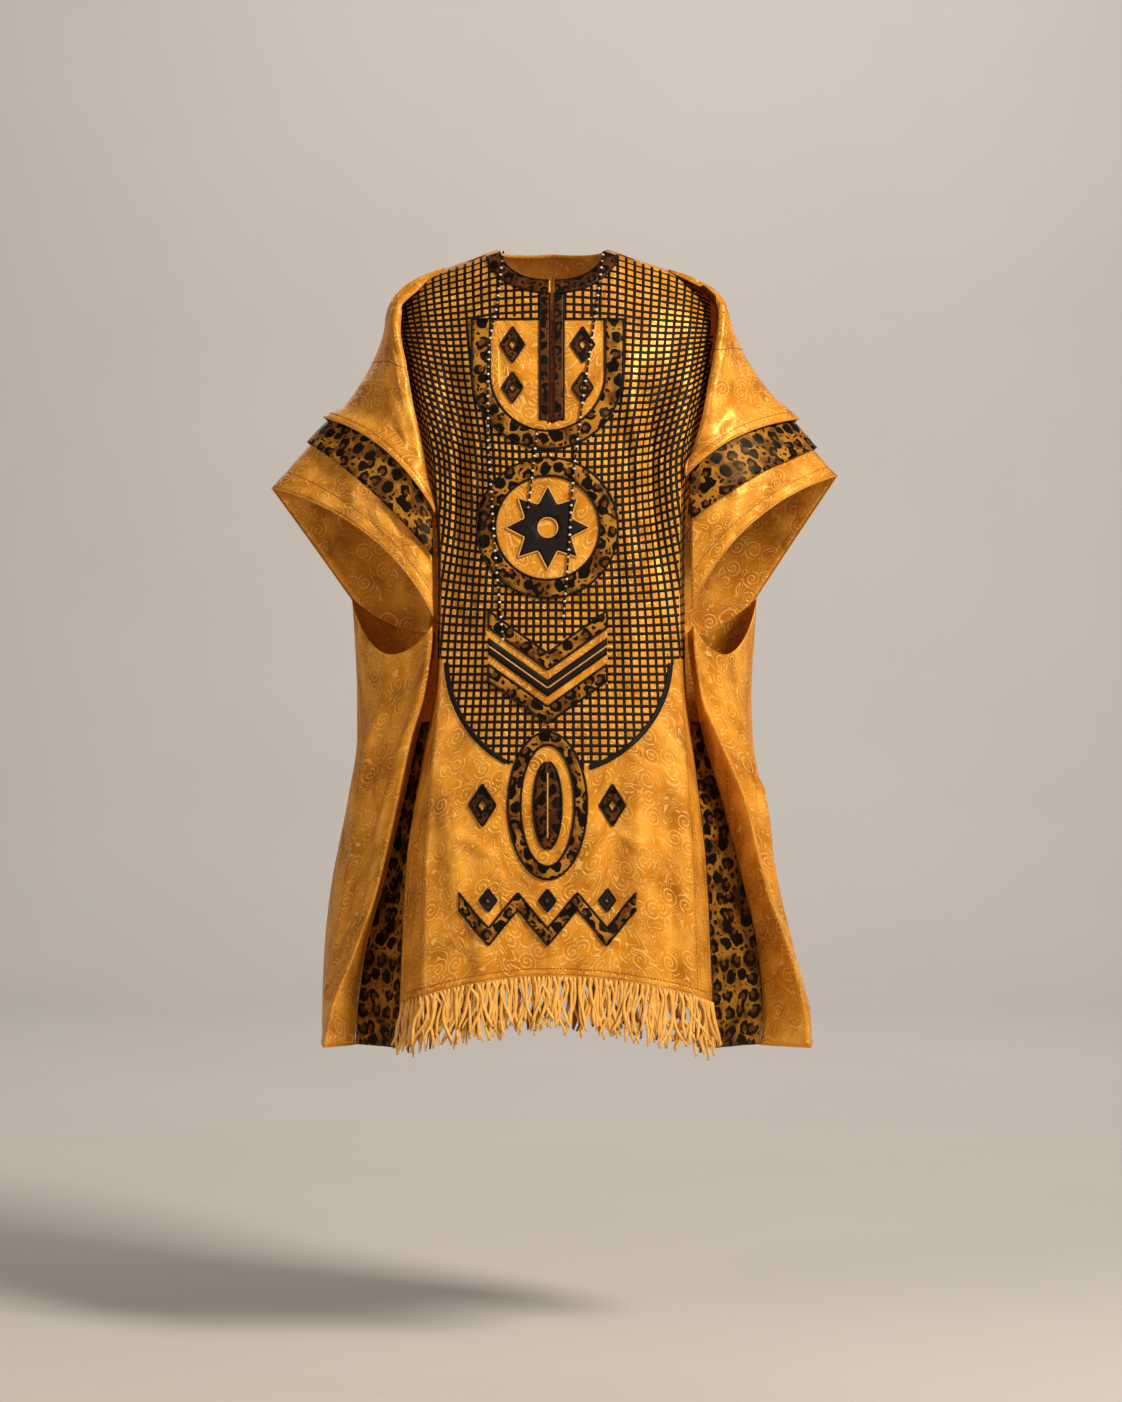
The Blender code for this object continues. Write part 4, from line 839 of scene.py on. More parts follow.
    # threads are 0.3 mm apart; drawn 1 mm apart, the finest that shows
    weave = node(tree, "ShaderNodeTexWave", {"bands_direction": "DIAGONAL"},
                 {"Vector": cut, "Scale": 1 / 0.0022, "Distortion": 0.6, "Detail": 1.0})
    relief = node(tree, "ShaderNodeBump", {}, {"Height": motif, "Strength": 0.55, "Distance": 0.0006})
    crumple = node(tree, "ShaderNodeTexNoise", {"noise_dimensions": "2D"},
                   {"Vector": cut, "Scale": 19.0, "Detail": 1.6, "Distortion": 0.6})
    soft = node(tree, "ShaderNodeBump", {},
                {"Height": crumple.outputs["Fac"], "Strength": 0.42, "Distance": 0.007, "Normal": relief})
    small = node(tree, "ShaderNodeTexNoise", {"noise_dimensions": "2D"},
                 {"Vector": cut, "Scale": 95.0, "Detail": 2.0, "Distortion": 0.6})
    rumple = node(tree, "ShaderNodeBump", {},
                  {"Height": small.outputs["Fac"], "Strength": 0.14, "Distance": 0.0014, "Normal": soft})
    threads = node(tree, "ShaderNodeBump", {},
                   {"Height": weave.outputs["Fac"], "Strength": 0.15, "Distance": 0.0002, "Normal": rumple})
    tree.links.new(colour.outputs[2], shader.inputs["Base Color"])
    tree.links.new(rough.outputs[0], shader.inputs["Roughness"])
    tree.links.new(threads.outputs[0], shader.inputs["Normal"])
    shader.inputs["Metallic"].default_value = 0.14
    shader.inputs["Specular IOR Level"].default_value = 0.55
    shader.inputs["Specular Tint"].default_value = linear("FFD698")
    return made


def leopard_print(name, ground_colour, deep, centre, spot, size):
    """Printed cotton satin: black rings, open on one side round a brown centre, and solid spots."""
    made, tree, shader = new_material(name)
    cut = node(tree, "ShaderNodeTexCoord", {}, {}).outputs["UV"]
    stray = node(tree, "ShaderNodeTexNoise", {"noise_dimensions": "2D"},
                 {"Vector": cut, "Scale": 1.0 / size, "Detail": 0.5})
    centred = node(tree, "ShaderNodeVectorMath", {"operation": "SUBTRACT"},
                   {0: stray.outputs["Color"], 1: (0.5, 0.5, 0.5)})
    moved = node(tree, "ShaderNodeVectorMath", {"operation": "SCALE"}, {0: centred, "Scale": size * 0.38})
    warped = node(tree, "ShaderNodeVectorMath", {"operation": "ADD"}, {0: cut, 1: moved})
    cell = node(tree, "ShaderNodeTexVoronoi", {"voronoi_dimensions": "2D"},
                {"Vector": warped, "Scale": 1 / size, "Randomness": 0.62})
    local = node(tree, "ShaderNodeVectorMath", {"operation": "SUBTRACT"},
                 {0: warped, 1: cell.outputs["Position"]})
    chance = node(tree, "ShaderNodeSeparateColor", {}, {0: cell.outputs["Color"]})
    angle = node(tree, "ShaderNodeMath", {"operation": "MULTIPLY"}, {0: chance.outputs[0], 1: 2 * math.pi})
    way = node(tree, "ShaderNodeCombineXYZ", {}, {
        0: node(tree, "ShaderNodeMath", {"operation": "COSINE"}, {0: angle}),
        1: node(tree, "ShaderNodeMath", {"operation": "SINE"}, {0: angle})})
    ripple = node(tree, "ShaderNodeTexNoise", {"noise_dimensions": "2D"},
                  {"Vector": cut, "Scale": 3.4 / size, "Detail": 0.5})
    reach = node(tree, "ShaderNodeVectorMath", {"operation": "LENGTH"}, {0: local})
    edge = node(tree, "ShaderNodeMath", {"operation": "MULTIPLY_ADD"},
                {0: ripple.outputs["Fac"], 1: size * 0.22, 2: reach.outputs["Value"]})
    outside = node(tree, "ShaderNodeMapRange", {"interpolation_type": "SMOOTHSTEP"},
                   {"Value": edge, "From Min": size * 0.535, "From Max": size * 0.505})
    # the hole stands a little to one side of the middle, and the ring's opening further out on that side
    holes = []
    for shift, wide in ((0.09, 0.20), (0.36, 0.15)):
        beside = node(tree, "ShaderNodeVectorMath", {"operation": "SCALE"}, {0: way, "Scale": size * shift})
        off = node(tree, "ShaderNodeVectorMath", {"operation": "DISTANCE"}, {0: local, 1: beside})
        holes.append(node(tree, "ShaderNodeMapRange", {"interpolation_type": "SMOOTHSTEP"}, {
            "Value": off.outputs["Value"], "From Min": size * wide, "From Max": size * (wide - 0.05)}))
    ringed = node(tree, "ShaderNodeMath", {"operation": "LESS_THAN"}, {0: chance.outputs[1], 1: 0.62})
    hollow = node(tree, "ShaderNodeMath", {"operation": "MULTIPLY"}, {0: holes[0], 1: ringed})
    opening = node(tree, "ShaderNodeMath", {"operation": "MULTIPLY"}, {0: holes[1], 1: ringed})
    cleared = node(tree, "ShaderNodeMath", {"operation": "MAXIMUM"}, {0: hollow, 1: opening})
    rosette = node(tree, "ShaderNodeMath", {"operation": "SUBTRACT", "use_clamp": True},
                   {0: outside, 1: cleared})
    small = node(tree, "ShaderNodeTexVoronoi", {"voronoi_dimensions": "2D"},
                 {"Vector": warped, "Scale": 2.4 / size, "Randomness": 0.9})
    dot = node(tree, "ShaderNodeMapRange", {"interpolation_type": "SMOOTHSTEP"},
               {"Value": small.outputs["Distance"], "From Min": 0.34, "From Max": 0.28})
    between = node(tree, "ShaderNodeMapRange", {"interpolation_type": "SMOOTHSTEP"},
                   {"Value": cell.outputs["Distance"], "From Min": 0.55, "From Max": 0.60})
    specks = node(tree, "ShaderNodeMath", {"operation": "MULTIPLY"}, {0: dot, 1: between})
    dark = node(tree, "ShaderNodeMath", {"operation": "MAXIMUM"}, {0: rosette, 1: specks})
    cloud = node(tree, "ShaderNodeTexNoise", {"noise_dimensions": "2D"},
                 {"Vector": cut, "Scale": 26.0, "Detail": 3.0})
    blotch = node(tree, "ShaderNodeMapRange", {"interpolation_type": "SMOOTHSTEP"},
                  {"Value": cloud.outputs["Fac"], "From Min": 0.38, "From Max": 0.60})
    base = node(tree, "ShaderNodeMix", {"data_type": "RGBA"},
                {0: blotch, 6: linear(deep), 7: linear(ground_colour)})
    filled = node(tree, "ShaderNodeMix", {"data_type": "RGBA"},
                  {0: hollow, 6: base.outputs[2], 7: linear(centre)})
    colour = node(tree, "ShaderNodeMix", {"data_type": "RGBA"},
                  {0: dark, 6: filled.outputs[2], 7: linear(spot)})
    # satin threads, drawn 0.9 mm apart, the finest that shows
    weave = node(tree, "ShaderNodeTexWave", {"bands_direction": "DIAGONAL"},
                 {"Vector": cut, "Scale": 1 / 0.0020, "Distortion": 0.5, "Detail": 1.0})
    relief = node(tree, "ShaderNodeBump", {},
                  {"Height": weave.outputs["Fac"], "Strength": 0.2, "Distance": 0.0002})
    crumple = node(tree, "ShaderNodeTexNoise", {"noise_dimensions": "2D"},
                   {"Vector": cut, "Scale": 36.0, "Detail": 2.0})
    soft = node(tree, "ShaderNodeBump", {},
                {"Height": crumple.outputs["Fac"], "Strength": 0.40, "Distance": 0.004, "Normal": relief})
    tree.links.new(colour.outputs[2], shader.inputs["Base Color"])
    tree.links.new(soft.outputs[0], shader.inputs["Normal"])
    shader.inputs["Roughness"].default_value = 0.44
    shader.inputs["Specular IOR Level"].default_value = 0.18
    shader.inputs["Specular Tint"].default_value = linear("FFDDA8")
    return made


def thread(name, light, dark, roughness, pitch, shine=0.5):
    """Rayon thread laid close: fine ridges along the stitches, a soft gloss."""
    made, tree, shader = new_material(name)
    place = node(tree, "ShaderNodeTexCoord", {}, {}).outputs["Object"]
    ply = node(tree, "ShaderNodeTexWave", {"bands_direction": "DIAGONAL"},
               {"Vector": place, "Scale": 0.5 / pitch, "Distortion": 0.8, "Detail": 1.0})
    tone = node(tree, "ShaderNodeTexNoise", {}, {"Vector": place, "Scale": 120.0, "Detail": 2.0})
    mixed = node(tree, "ShaderNodeMath", {"operation": "MULTIPLY_ADD", "use_clamp": True},
                 {0: ply.outputs["Fac"], 1: 0.35, 2: node(tree, "ShaderNodeMath", {"operation": "MULTIPLY"},
                                                          {0: tone.outputs["Fac"], 1: 0.8})})
    colour = node(tree, "ShaderNodeMix", {"data_type": "RGBA"},
                  {0: mixed, 6: linear(dark), 7: linear(light)})
    relief = node(tree, "ShaderNodeBump", {},
                  {"Height": ply.outputs["Fac"], "Strength": 0.4, "Distance": 0.0003})
    tree.links.new(colour.outputs[2], shader.inputs["Base Color"])
    tree.links.new(relief.outputs[0], shader.inputs["Normal"])
    shader.inputs["Roughness"].default_value = roughness
    shader.inputs["Specular IOR Level"].default_value = shine
    return made


def glass(name, colour, tint):
    """Small glass or lacquered beads: a bright gloss over a faintly uneven colour."""
    made, tree, shader = new_material(name)
    place = node(tree, "ShaderNodeTexCoord", {}, {}).outputs["Object"]
    tone = node(tree, "ShaderNodeTexNoise", {}, {"Vector": place, "Scale": 300.0, "Detail": 1.0})
    mixed = node(tree, "ShaderNodeMix", {"data_type": "RGBA"},
                 {0: tone.outputs["Fac"], 6: linear(colour), 7: linear(tint)})
    tree.links.new(mixed.outputs[2], shader.inputs["Base Color"])
    shader.inputs["Roughness"].default_value = 0.16
    shader.inputs["Coat Weight"].default_value = 0.5
    shader.inputs["Coat Roughness"].default_value = 0.05
    return made


def painted(name, colour, shade):
    """Matt studio paint, very slightly uneven."""
    made, tree, shader = new_material(name)
    place = node(tree, "ShaderNodeTexCoord", {}, {}).outputs["Object"]
    tone = node(tree, "ShaderNodeTexNoise", {}, {"Vector": place, "Scale": 1.4, "Detail": 3.0})
    mixed = node(tree, "ShaderNodeMix", {"data_type": "RGBA"},
                 {0: tone.outputs["Fac"], 6: linear(colour), 7: linear(shade)})
    tree.links.new(mixed.outputs[2], shader.inputs["Base Color"])
    shader.inputs["Roughness"].default_value = 0.85
    return made


# every finish begins with its name and its sRGB colours
MATERIALS = {
    "brocade": glazed_brocade("glazed_cotton_brocade", "B46C12", "D6881E", "F0A333", "FFCE78"),
    "leopard": leopard_print("leopard_cotton_satin", "A87022", "653A12", "5E3410", "080503", 0.021),
    # the gusset's leopard: the same print with larger spots, its colours darkened as painted shade for the
    # shadow between the front and the wing
    "leopard_inset_painted_shade": leopard_print("leopard_cotton_satin_inset_painted_shade", "8C5C1A", "4A2A0E", "48280C", "060402",
                                   0.024),
    "leopard_dark": leopard_print("leopard_cotton_satin_dark", "5A3012", "3A1E0C", "48260E", "080503", 0.018),
    "satin": thread("black_brown_satin_stitch", "1C1008", "070402", 0.50, 0.0012, 0.14),
    "seam_thread": thread("bronze_seam_thread", "9A6420", "643C0E", 0.55, 0.0010, 0.3),
    "gold_thread": thread("gold_rayon_thread", "E8AE4C", "A8690F", 0.42, 0.0012),
    "gold_edge": thread("rolled_brocade_edge", "DB962C", "A2630F", 0.40, 0.0016),
    "fringe": thread("gold_rayon_fringe", "FFC65E", "C8821E", 0.42, 0.0016, 0.5),
    # the back row of fringe cords: a darker copy of the fringe's colours, painted shade for the strands that
    # lie in shadow behind the front ones
    "fringe_behind_painted_shade": thread("gold_rayon_fringe_painted_shade", "A0641A", "5A320A", 0.50, 0.0016, 0.2),
    "bead_pale": glass("pale_glass_beads", "E6DCC8", "BDAF92"),
    "bead_gold": glass("gold_lacquered_beads", "C98A26", "8E5A14"),
}
DECLARED = []  # sheets with their flat sizes
TRIMMINGS = {}  # what is sewn on each sheet


def trims(sheet_name, piece):
    """Notes a piece that is sewn on a sheet."""
    TRIMMINGS.setdefault(sheet_name, []).append(piece)


# The two big panels and the gussets

def side_shares(stops):
    """Shares from the middle to the side: each stop is (share reached, steps)."""
    out, last = [], 0.0
    for reached, steps in stops:
        out += [last + (reached - last) * k / steps for k in range(1, steps + 1)]
        last = reached
    return np.array(out)


def hem_dent(distance, at, wide=0.0022):
    """A shallow groove pressed in along a row of stitches."""
    return np.exp(-(((distance - at) / wide) ** 2))


def make_front():
    neck = NECK_HALF / SHOULDER_HALF
    slit = SLIT_HALF / SHOULDER_HALF
    near = neck * np.sin(np.radians(np.linspace(0, 90, 15)[1:]))
    far = side_shares(((CORNER_AT - neck, 34), (1 - neck, 18))) + neck
    half = np.concatenate([near, far])
    s = np.concatenate([-half[::-1], [-slit, slit], half])
    beside_slit = np.linspace(0, 1, SLIT_ROWS + 1)[:-1] ** 1.25 * SLIT_FOOT
    t = np.concatenate([beside_slit, np.linspace(SLIT_FOOT, 1, 131)])
    s_grid, t_grid = np.meshgrid(s, t)
    x, z = front_place(s_grid, t_grid)
    y = front_cloth(x, z)
    hem = front_place(s_grid, 1.0)[1]
    y = y + 0.0014 * hem_dent(z - hem, HEM_FRONT_UP, 0.0028)
    y[0] = np.where(np.abs(s) * SHOULDER_HALF >= NECK_HALF - 1e-6, -0.0003, y[0])
    keep = np.ones((len(t) - 1, len(s) - 1), dtype=bool)
    keep[:SLIT_ROWS, len(half)] = False
    sheet_of("front_cloth", points(x, y, z), "brocade", (0, -1, 0), keep=keep, node="front_panel")


def normals(grid):
    return unit(np.cross(np.gradient(grid, axis=1), np.gradient(grid, axis=0)))


def press(grid, height):
    """Moves the points of a grid along its own normals."""
    return grid + normals(grid) * height[..., None]


def back_grid():
    """The back's points, its shares across, and its cells of cloth: above the wings only its middle."""
    neck = SEAM_AT * NECK_HALF / SHOULDER_HALF
    near = neck * np.sin(np.radians(np.linspace(0, 90, 11)[1:]))
    stops = ((SEAM_AT, 26), (OUTER_AT, 24), (FOLD_AT, 26), (1, 12))
    far = side_shares([(stop - neck, steps) for stop, steps in stops]) + neck
    half = np.concatenate([near, far])
    s = np.concatenate([-half[::-1], [0.0], half])
    upper = np.linspace(0, 1, BACK_TOP_ROWS + 1)[:-1] ** 1.2
    x_top = shoulder_x(s) / SEAM_AT
    top = neckline_z(x_top, NECK_DROP_BACK)
    top_rows = back_point(s[None, :], top + (WING_TOP - top) * upper[:, None])
    shoulder_edge = np.abs(x_top) >= NECK_HALF - 1e-6
    top_rows[0, :, 1] = np.where(shoulder_edge, 0.0003, top_rows[0, :, 1])
    wing_rows = wing_point(s[None, :], np.linspace(0, 1, BACK_WING_ROWS)[:, None])
    grid = np.concatenate([top_rows, wing_rows])
    keep = np.ones((len(grid) - 1, len(s) - 1), dtype=bool)
    keep[:BACK_TOP_ROWS] = (np.abs(s[:-1]) <= SEAM_AT + 1e-9) & (np.abs(s[1:]) <= SEAM_AT + 1e-9)
    return s, grid, keep


def make_back():
    s, grid, keep = back_grid()
    z = grid[..., 2]
    s_grid = np.broadcast_to(s, z.shape)
    a = np.abs(s_grid)
    top = ridge_z(grid[..., 0])
    fade = ease((top - z - 0.015) / 0.09) * ease((1 - a) / 0.10)
    # under the sleeve the panel's edge stays where the sleeve lies on it
    fade = fade * np.where(z > WING_TOP, 1 - ease((a - 0.30) / 0.10), 1.0)
    height = press_marks(BACK_CREASES, s_grid, z) * fade
    height = height - 0.0009 * hem_dent(z - back_hem_z(a), HEM_BACK_UP)
    turned = np.sign(normals(grid)[len(grid) // 2, len(s) // 2, 1])
    sheet_of("back_cloth", press(grid, height * turned), "brocade", (0, 1, 0), keep=keep, node="back_panel")


def front_end(sign, z):
    """The free edge of the front's side return at a height."""
    rows = points(*front_place(np.full(200, float(sign)), np.linspace(0, 1, 200)), 0.0)
    x, height = rows[:, 0], rows[:, 1]
    here = np.interp(-z, -height, x)
    level = np.maximum(z, height[-1])
    return points(here, front_depth(np.full(z.shape, float(sign)), level), z)


def make_gusset(side):
    """The leopard inset between the front's return and the wing, its print's colours darkened as painted
    shade.
    """
    sign = -1 if side == "left" else 1
    share = np.linspace(GUSSET_FROM_ROW / WING_ROWS, 1, 90)
    stop = wing_point(np.full(90, float(sign)), share)
    inwards = wing_point(np.full(90, sign * FOLD_AT), share) - stop
    start = front_end(sign, stop[:, 2])
    way = unit(stop - start)
    turn = np.clip((-way * unit(inwards)).sum(axis=1), -0.7, 0.98)
    room = (WALL / 2 * (1 + turn) + 0.0006) / np.sqrt(1 - turn * turn)
    first, last = start + way * 0.0016, stop - way * room[:, None]
    across = np.linspace(0, 1, 25)
    grid = first[:, None, :] + (last - first)[:, None, :] * across[None, :, None]
    down = (share - share[0]) / (1 - share[0])
    # it bellies inwards, with soft folds that grow on the way down
    belly = np.sin(math.pi * across)
    folds = np.sin(math.pi * across * 3 + sign) * belly
    grid[..., 1] += 0.006 * belly[None, :] * ease(down * 2)[:, None] + 0.0022 * folds[None, :] * down[:, None]
    # the inset takes the darkened leopard: painted shade
    sheet_of("gusset_cloth_" + side, grid, "leopard_inset_painted_shade", (sign * 0.3, -1, 0), PRINT, node="gusset_" + side)


# The sleeves

def tier_out(stage, last, base, flare):
    return base * ease((stage + 0.5) / 3.0) + flare * ease((stage - last + 1.2) / 1.2)


def row_at(grid, stage, wanted):
    """A line across a sleeve's grid at a stage given for each column."""
    at = np.interp(wanted, stage[:, 0], np.arange(len(stage)))
    low = np.clip(np.floor(at).astype(int), 0, len(stage) - 2)
    part, column = (at - low)[:, None], np.arange(grid.shape[1])
    return grid[low, column] * (1 - part) + grid[low + 1, column] * part


def make_sleeves(side):
    """The three lapped layers of a sleeve, with rolled edges, a cross seam and hem stitches."""
    sign = -1 if side == "left" else 1
    around = np.linspace(0, 1, 97)
    hems, fronts, threads = [], [], []
    for name, first, last, base, flare, finish in TIERS:
        stage = np.linspace(first, last, int((last - first) * 11) + 1)[:, None]
        grid = sleeve_point(side, around, stage, tier_out(stage, last, base, flare) + 0 * around)
        around_grid, stage_grid = np.broadcast_arrays(around, stage)
        fade = ease(stage_grid - first) * ease(np.minimum(around_grid, 1 - around_grid) / 0.07)
        marks = [(a0, d0 * STAGE_COUNTS, a1, d1 * STAGE_COUNTS, wide, high)
                 for a0, d0, a1, d1, wide, high in SLEEVE_CREASES[name]]
        height = press_marks(marks, around_grid, stage_grid * STAGE_COUNTS) * fade
        seam = CROSS_SEAM - CROSS_SEAM_DIP * np.abs(around - 0.5) * 2
        hem = last - HEM_STAGES.get(name, 0.0)
        if name == "upper":
            off_ridge = 1 - np.exp(-(((around - 0.5) / 0.09) ** 2))
            height = height - 0.0008 * off_ridge * hem_dent(stage, seam, 0.06)
        if name in HEM_STAGES:
            height = height - 0.0008 * hem_dent(stage, hem, 0.07)
        middle = normals(grid)[len(stage) // 2, len(around) // 2]
        turned = np.sign(middle[0] * sign + middle[2])
        cloth = press(grid, height * turned)
        face = press(grid, (height + CLOTH / 2 + 0.0001) * turned)
        sheet_of("sleeve_%s_cloth_%s" % (name, side), cloth, finish, (sign, 0, 1),
                 CLOTH if finish == "brocade" else PRINT, node="sleeve_%s_%s" % (name, side))
        if name == "upper":
            fronts.append(cloth[1:, 0])
            threads.append(row_at(face, stage, seam)[3:-3])
        if name in HEM_STAGES:
            hems.append(cloth[-1])
            threads += stitch_row(row_at(face, stage, np.full(len(around), hem))[2:-2])
    upper = "sleeve_upper_cloth_" + side
    trims(upper, cords("sleeve_rolled_hems_" + side, hems, "gold_edge", ROLL, sides=7))
    trims(upper, cords("sleeve_rolled_edge_" + side, fronts, "gold_edge", ROLL, sides=7,
                       taper=((0, 0.15, 1), (0.3, 1, 1))))
    trims(upper, cords("sleeve_stitches_" + side, threads, "seam_thread", 0.0006, sides=5))


# The lattice, the column and the neck

def column_covers(x, z):
    """Where the column's own plain ground shows in place of the lattice."""
    across = x - COLUMN_MIDDLE
    bib = (np.abs(across) < BIB_HALF) & (z < BIB_TOP) & (z > BIB_TURN - (BIB_TURN - BIB_FOOT) * np.sqrt(
        np.clip(1 - (across / BIB_HALF) ** 2, 0, 1)))
    ring = np.hypot(across, z - RING_Z) < RING_OUTSIDE
    arms = np.clip(1 - np.abs(across) / CHEVRON_HALF, 0, 1) * CHEVRON_DEEP
    top, foot = CHEVRONS[0][0] - arms, CHEVRONS[-1][0] - CHEVRON_WIDE - arms
    chevron = (np.abs(across) < CHEVRON_HALF) & (z < top) & (z > foot)
    oval = (across / OVAL_HALF) ** 2 + ((z - OVAL_Z) / OVAL_TALL) ** 2 < 1
    return bib | ring | chevron | oval


def lattice_covers(x, z):
    """Where the lattice is sewn: from the shoulders to the rounded border below the waist."""
    half = np.where(x < 0, BORDER_HALF_LEFT, BORDER_HALF_RIGHT)
    share = np.clip(1 - (x / half) ** 2, 0, 1)
    above_border = (z > BORDER_TOP) | ((np.abs(x) < half) & (z > BORDER_TOP - BORDER_DEEP * np.sqrt(share)))
    below_seam = z < ridge_z(x) - 0.004
    neck = (NECK_HALF + FACING_WIDE - 0.001, NECK_DROP_FRONT + FACING_WIDE - 0.001)
    off_neck = (x / neck[0]) ** 2 + ((ridge_z(x) - z) / neck[1]) ** 2 > 1
    off_slit = (np.abs(x) > PLACKET_WIDE + 0.001) | (z < PLACKET_FOOT)
    inside = np.abs(front_s(x, z)) < 0.97
    return above_border & below_seam & off_neck & off_slit & inside & ~column_covers(x, z)


def runs(keep, least):
    """Index ranges where keep is true for at least so many points together."""
    edges = np.flatnonzero(np.diff(np.concatenate([[0], keep.astype(int), [0]])))
    return [(a, b) for a, b in zip(edges[::2], edges[1::2]) if b - a >= least]


def armpit_pull(z):
    return np.exp(-(((z - ARMPIT_Z) / ARMPIT_REACH) ** 2))


def make_lattice():
    """The embroidered lattice: cords down and across, where they show between neck, column and border."""
    lines = []
    down = np.linspace(0.0, 1.0, 170)
    step = LATTICE_PITCH * CORNER_AT / CORNER_MEAN
    count = int(1.16 / step)
    for k in range(-count, count):
        start = (k + 0.5) * step
        top = ridge_z(shoulder_x(start)) - 0.006
        z = top + (LATTICE_FOOT - top) * down
        s = start - DRAWN_IN * math.copysign(abs(start) ** 1.7, start) * armpit_pull(z)
        s = np.where(np.abs(s) < 0.98, s, np.nan)
        lines.append((front_x(s, z), z, 0.0, 2))
    s = np.linspace(-0.97, 0.97, 110)
    # the rows follow the shoulder's slope at first, and run level further down
    slope = ridge_z(shoulder_x(s)) - 0.008
    for k in range(LATTICE_ROWS):
        drop = 0.006 + k * LATTICE_PITCH
        z = 0.008 - drop + slope * math.exp(-drop / 0.22)
        z = z + DRAWN_UP * np.abs(s) ** 3 * armpit_pull(z)
        lines.append((front_x(s, z), z, 0.00012, 5))
    paths, ups = [], []
    for x, z, raise_by, least in lines:
        keep = lattice_covers(x, z) & ~np.isnan(x)
        for a, b in runs(keep, least):
            paths.append(on_front(x[a:b], z[a:b], WALL / 2 + 0.0001 + raise_by))
            ups.append(front_out(x[a:b], z[a:b]))
    trims("front_cloth", cords("lattice_embroidery", paths, "satin", LATTICE_LINE, LATTICE_HIGH, ups))


def strip(name, inner, outer, finish, closed=False, node=None, cut=True):
    """Trim between two outlines given as (x, z) points, laid on the front."""
    inner, outer = np.asarray(inner, dtype=float), np.asarray(outer, dtype=float)
    share = np.linspace(0, 1, 5)[:, None]
    x = inner[None, :, 0] + (outer - inner)[None, :, 0] * share
    z = inner[None, :, 1] + (outer - inner)[None, :, 1] * share
    piece = sheet_of(name, on_front(x, z, np.full(x.shape, TRIM_LIFT)), finish, (0, -1, 0), TRIM,
                     closed=closed, node=node, held="laid", cut=cut, straight=True)
    trims("front_cloth", piece)


def outline_cords(name, lines, finish, across, high):
    """Cords sewn along outlines on the front, each given as its path and whether it is closed."""
    paths, ups = [], []
    for path, closed in lines:
        path = resampled(np.concatenate([path, path[:1]]) if closed else path, 0.0035)
        paths.append(on_front(path[:, 0], path[:, 1], np.full(len(path), TRIM_LIFT + TRIM / 2)))
        ups.append(front_out(path[:, 0], path[:, 1]))
    trims("front_cloth", cords(name, paths, finish, across, high, ups))


def ring_path(x, z, wide, high):
    turn = 2 * math.pi * np.arange(96) / 96
    return np.stack([x + wide * np.sin(turn), z + high * np.cos(turn)], axis=1)


def straight_sides(corners, between):
    """A closed outline with so many points on each straight side."""
    out = []
    for (x0, z0), (x1, z1) in zip(corners, corners[1:] + corners[:1]):
        out += [(x0 + (x1 - x0) * i / between, z0 + (z1 - z0) * i / between) for i in range(between)]
    return np.array(out)


def star_path(x, z, tip, notch):
    """An eight-pointed star's outline."""
    corners = []
    for k in range(16):
        reach, turn = notch if k % 2 else tip, math.pi * k / 8
        corners.append((x + reach * math.sin(turn), z + reach * math.cos(turn)))
    return straight_sides(corners, 6)


def bib_path(half, foot):
    side = np.linspace(BIB_TOP, BIB_TURN, 13)[:-1]
    turn = np.linspace(0, math.pi, 55)
    left = np.stack([np.full(12, COLUMN_MIDDLE - half), side], axis=1)
    right = np.stack([np.full(12, COLUMN_MIDDLE + half), side[::-1]], axis=1)
    round_x, round_z = COLUMN_MIDDLE - half * np.cos(turn), BIB_TURN + (foot - BIB_TURN) * np.sin(turn)
    return np.concatenate([left, np.stack([round_x, round_z], axis=1), right])


def chevron_path(top):
    arm = np.linspace(0, 1, 19)
    left = np.stack([COLUMN_MIDDLE - CHEVRON_HALF * (1 - arm), top - CHEVRON_DEEP * arm], axis=1)
    right = np.stack([COLUMN_MIDDLE + CHEVRON_HALF * arm[1:], top - CHEVRON_DEEP * (1 - arm[1:])], axis=1)
    return np.concatenate([left, right])


def zigzag_path(lift):
    share = np.linspace(0, ZIGZAG_TURNS, ZIGZAG_TURNS * 9 + 1)
    peak = np.abs(share % 2 - 1)
    x = COLUMN_MIDDLE + ZIGZAG_HALF * (2 * share / ZIGZAG_TURNS - 1)
    return np.stack([x, ZIGZAG_Z + ZIGZAG_HIGH * (peak - 0.5) + lift], axis=1)


def lozenge_path(x, z, wide, high):
    return straight_sides([(x, z + high), (x + wide, z), (x, z - high), (x - wide, z)], 8)


def small_lozenge(name, x, z, wide, high, finish):
    """A small applied lozenge with a hole in it; gives back its outlines."""
    outer = lozenge_path(x, z, wide, high)
    inner = lozenge_path(x, z, wide * LOZENGE_HOLE, high * LOZENGE_HOLE)
    strip(name, inner, outer, finish, closed=True, cut=False)
    return [(outer, True), (inner, True)]


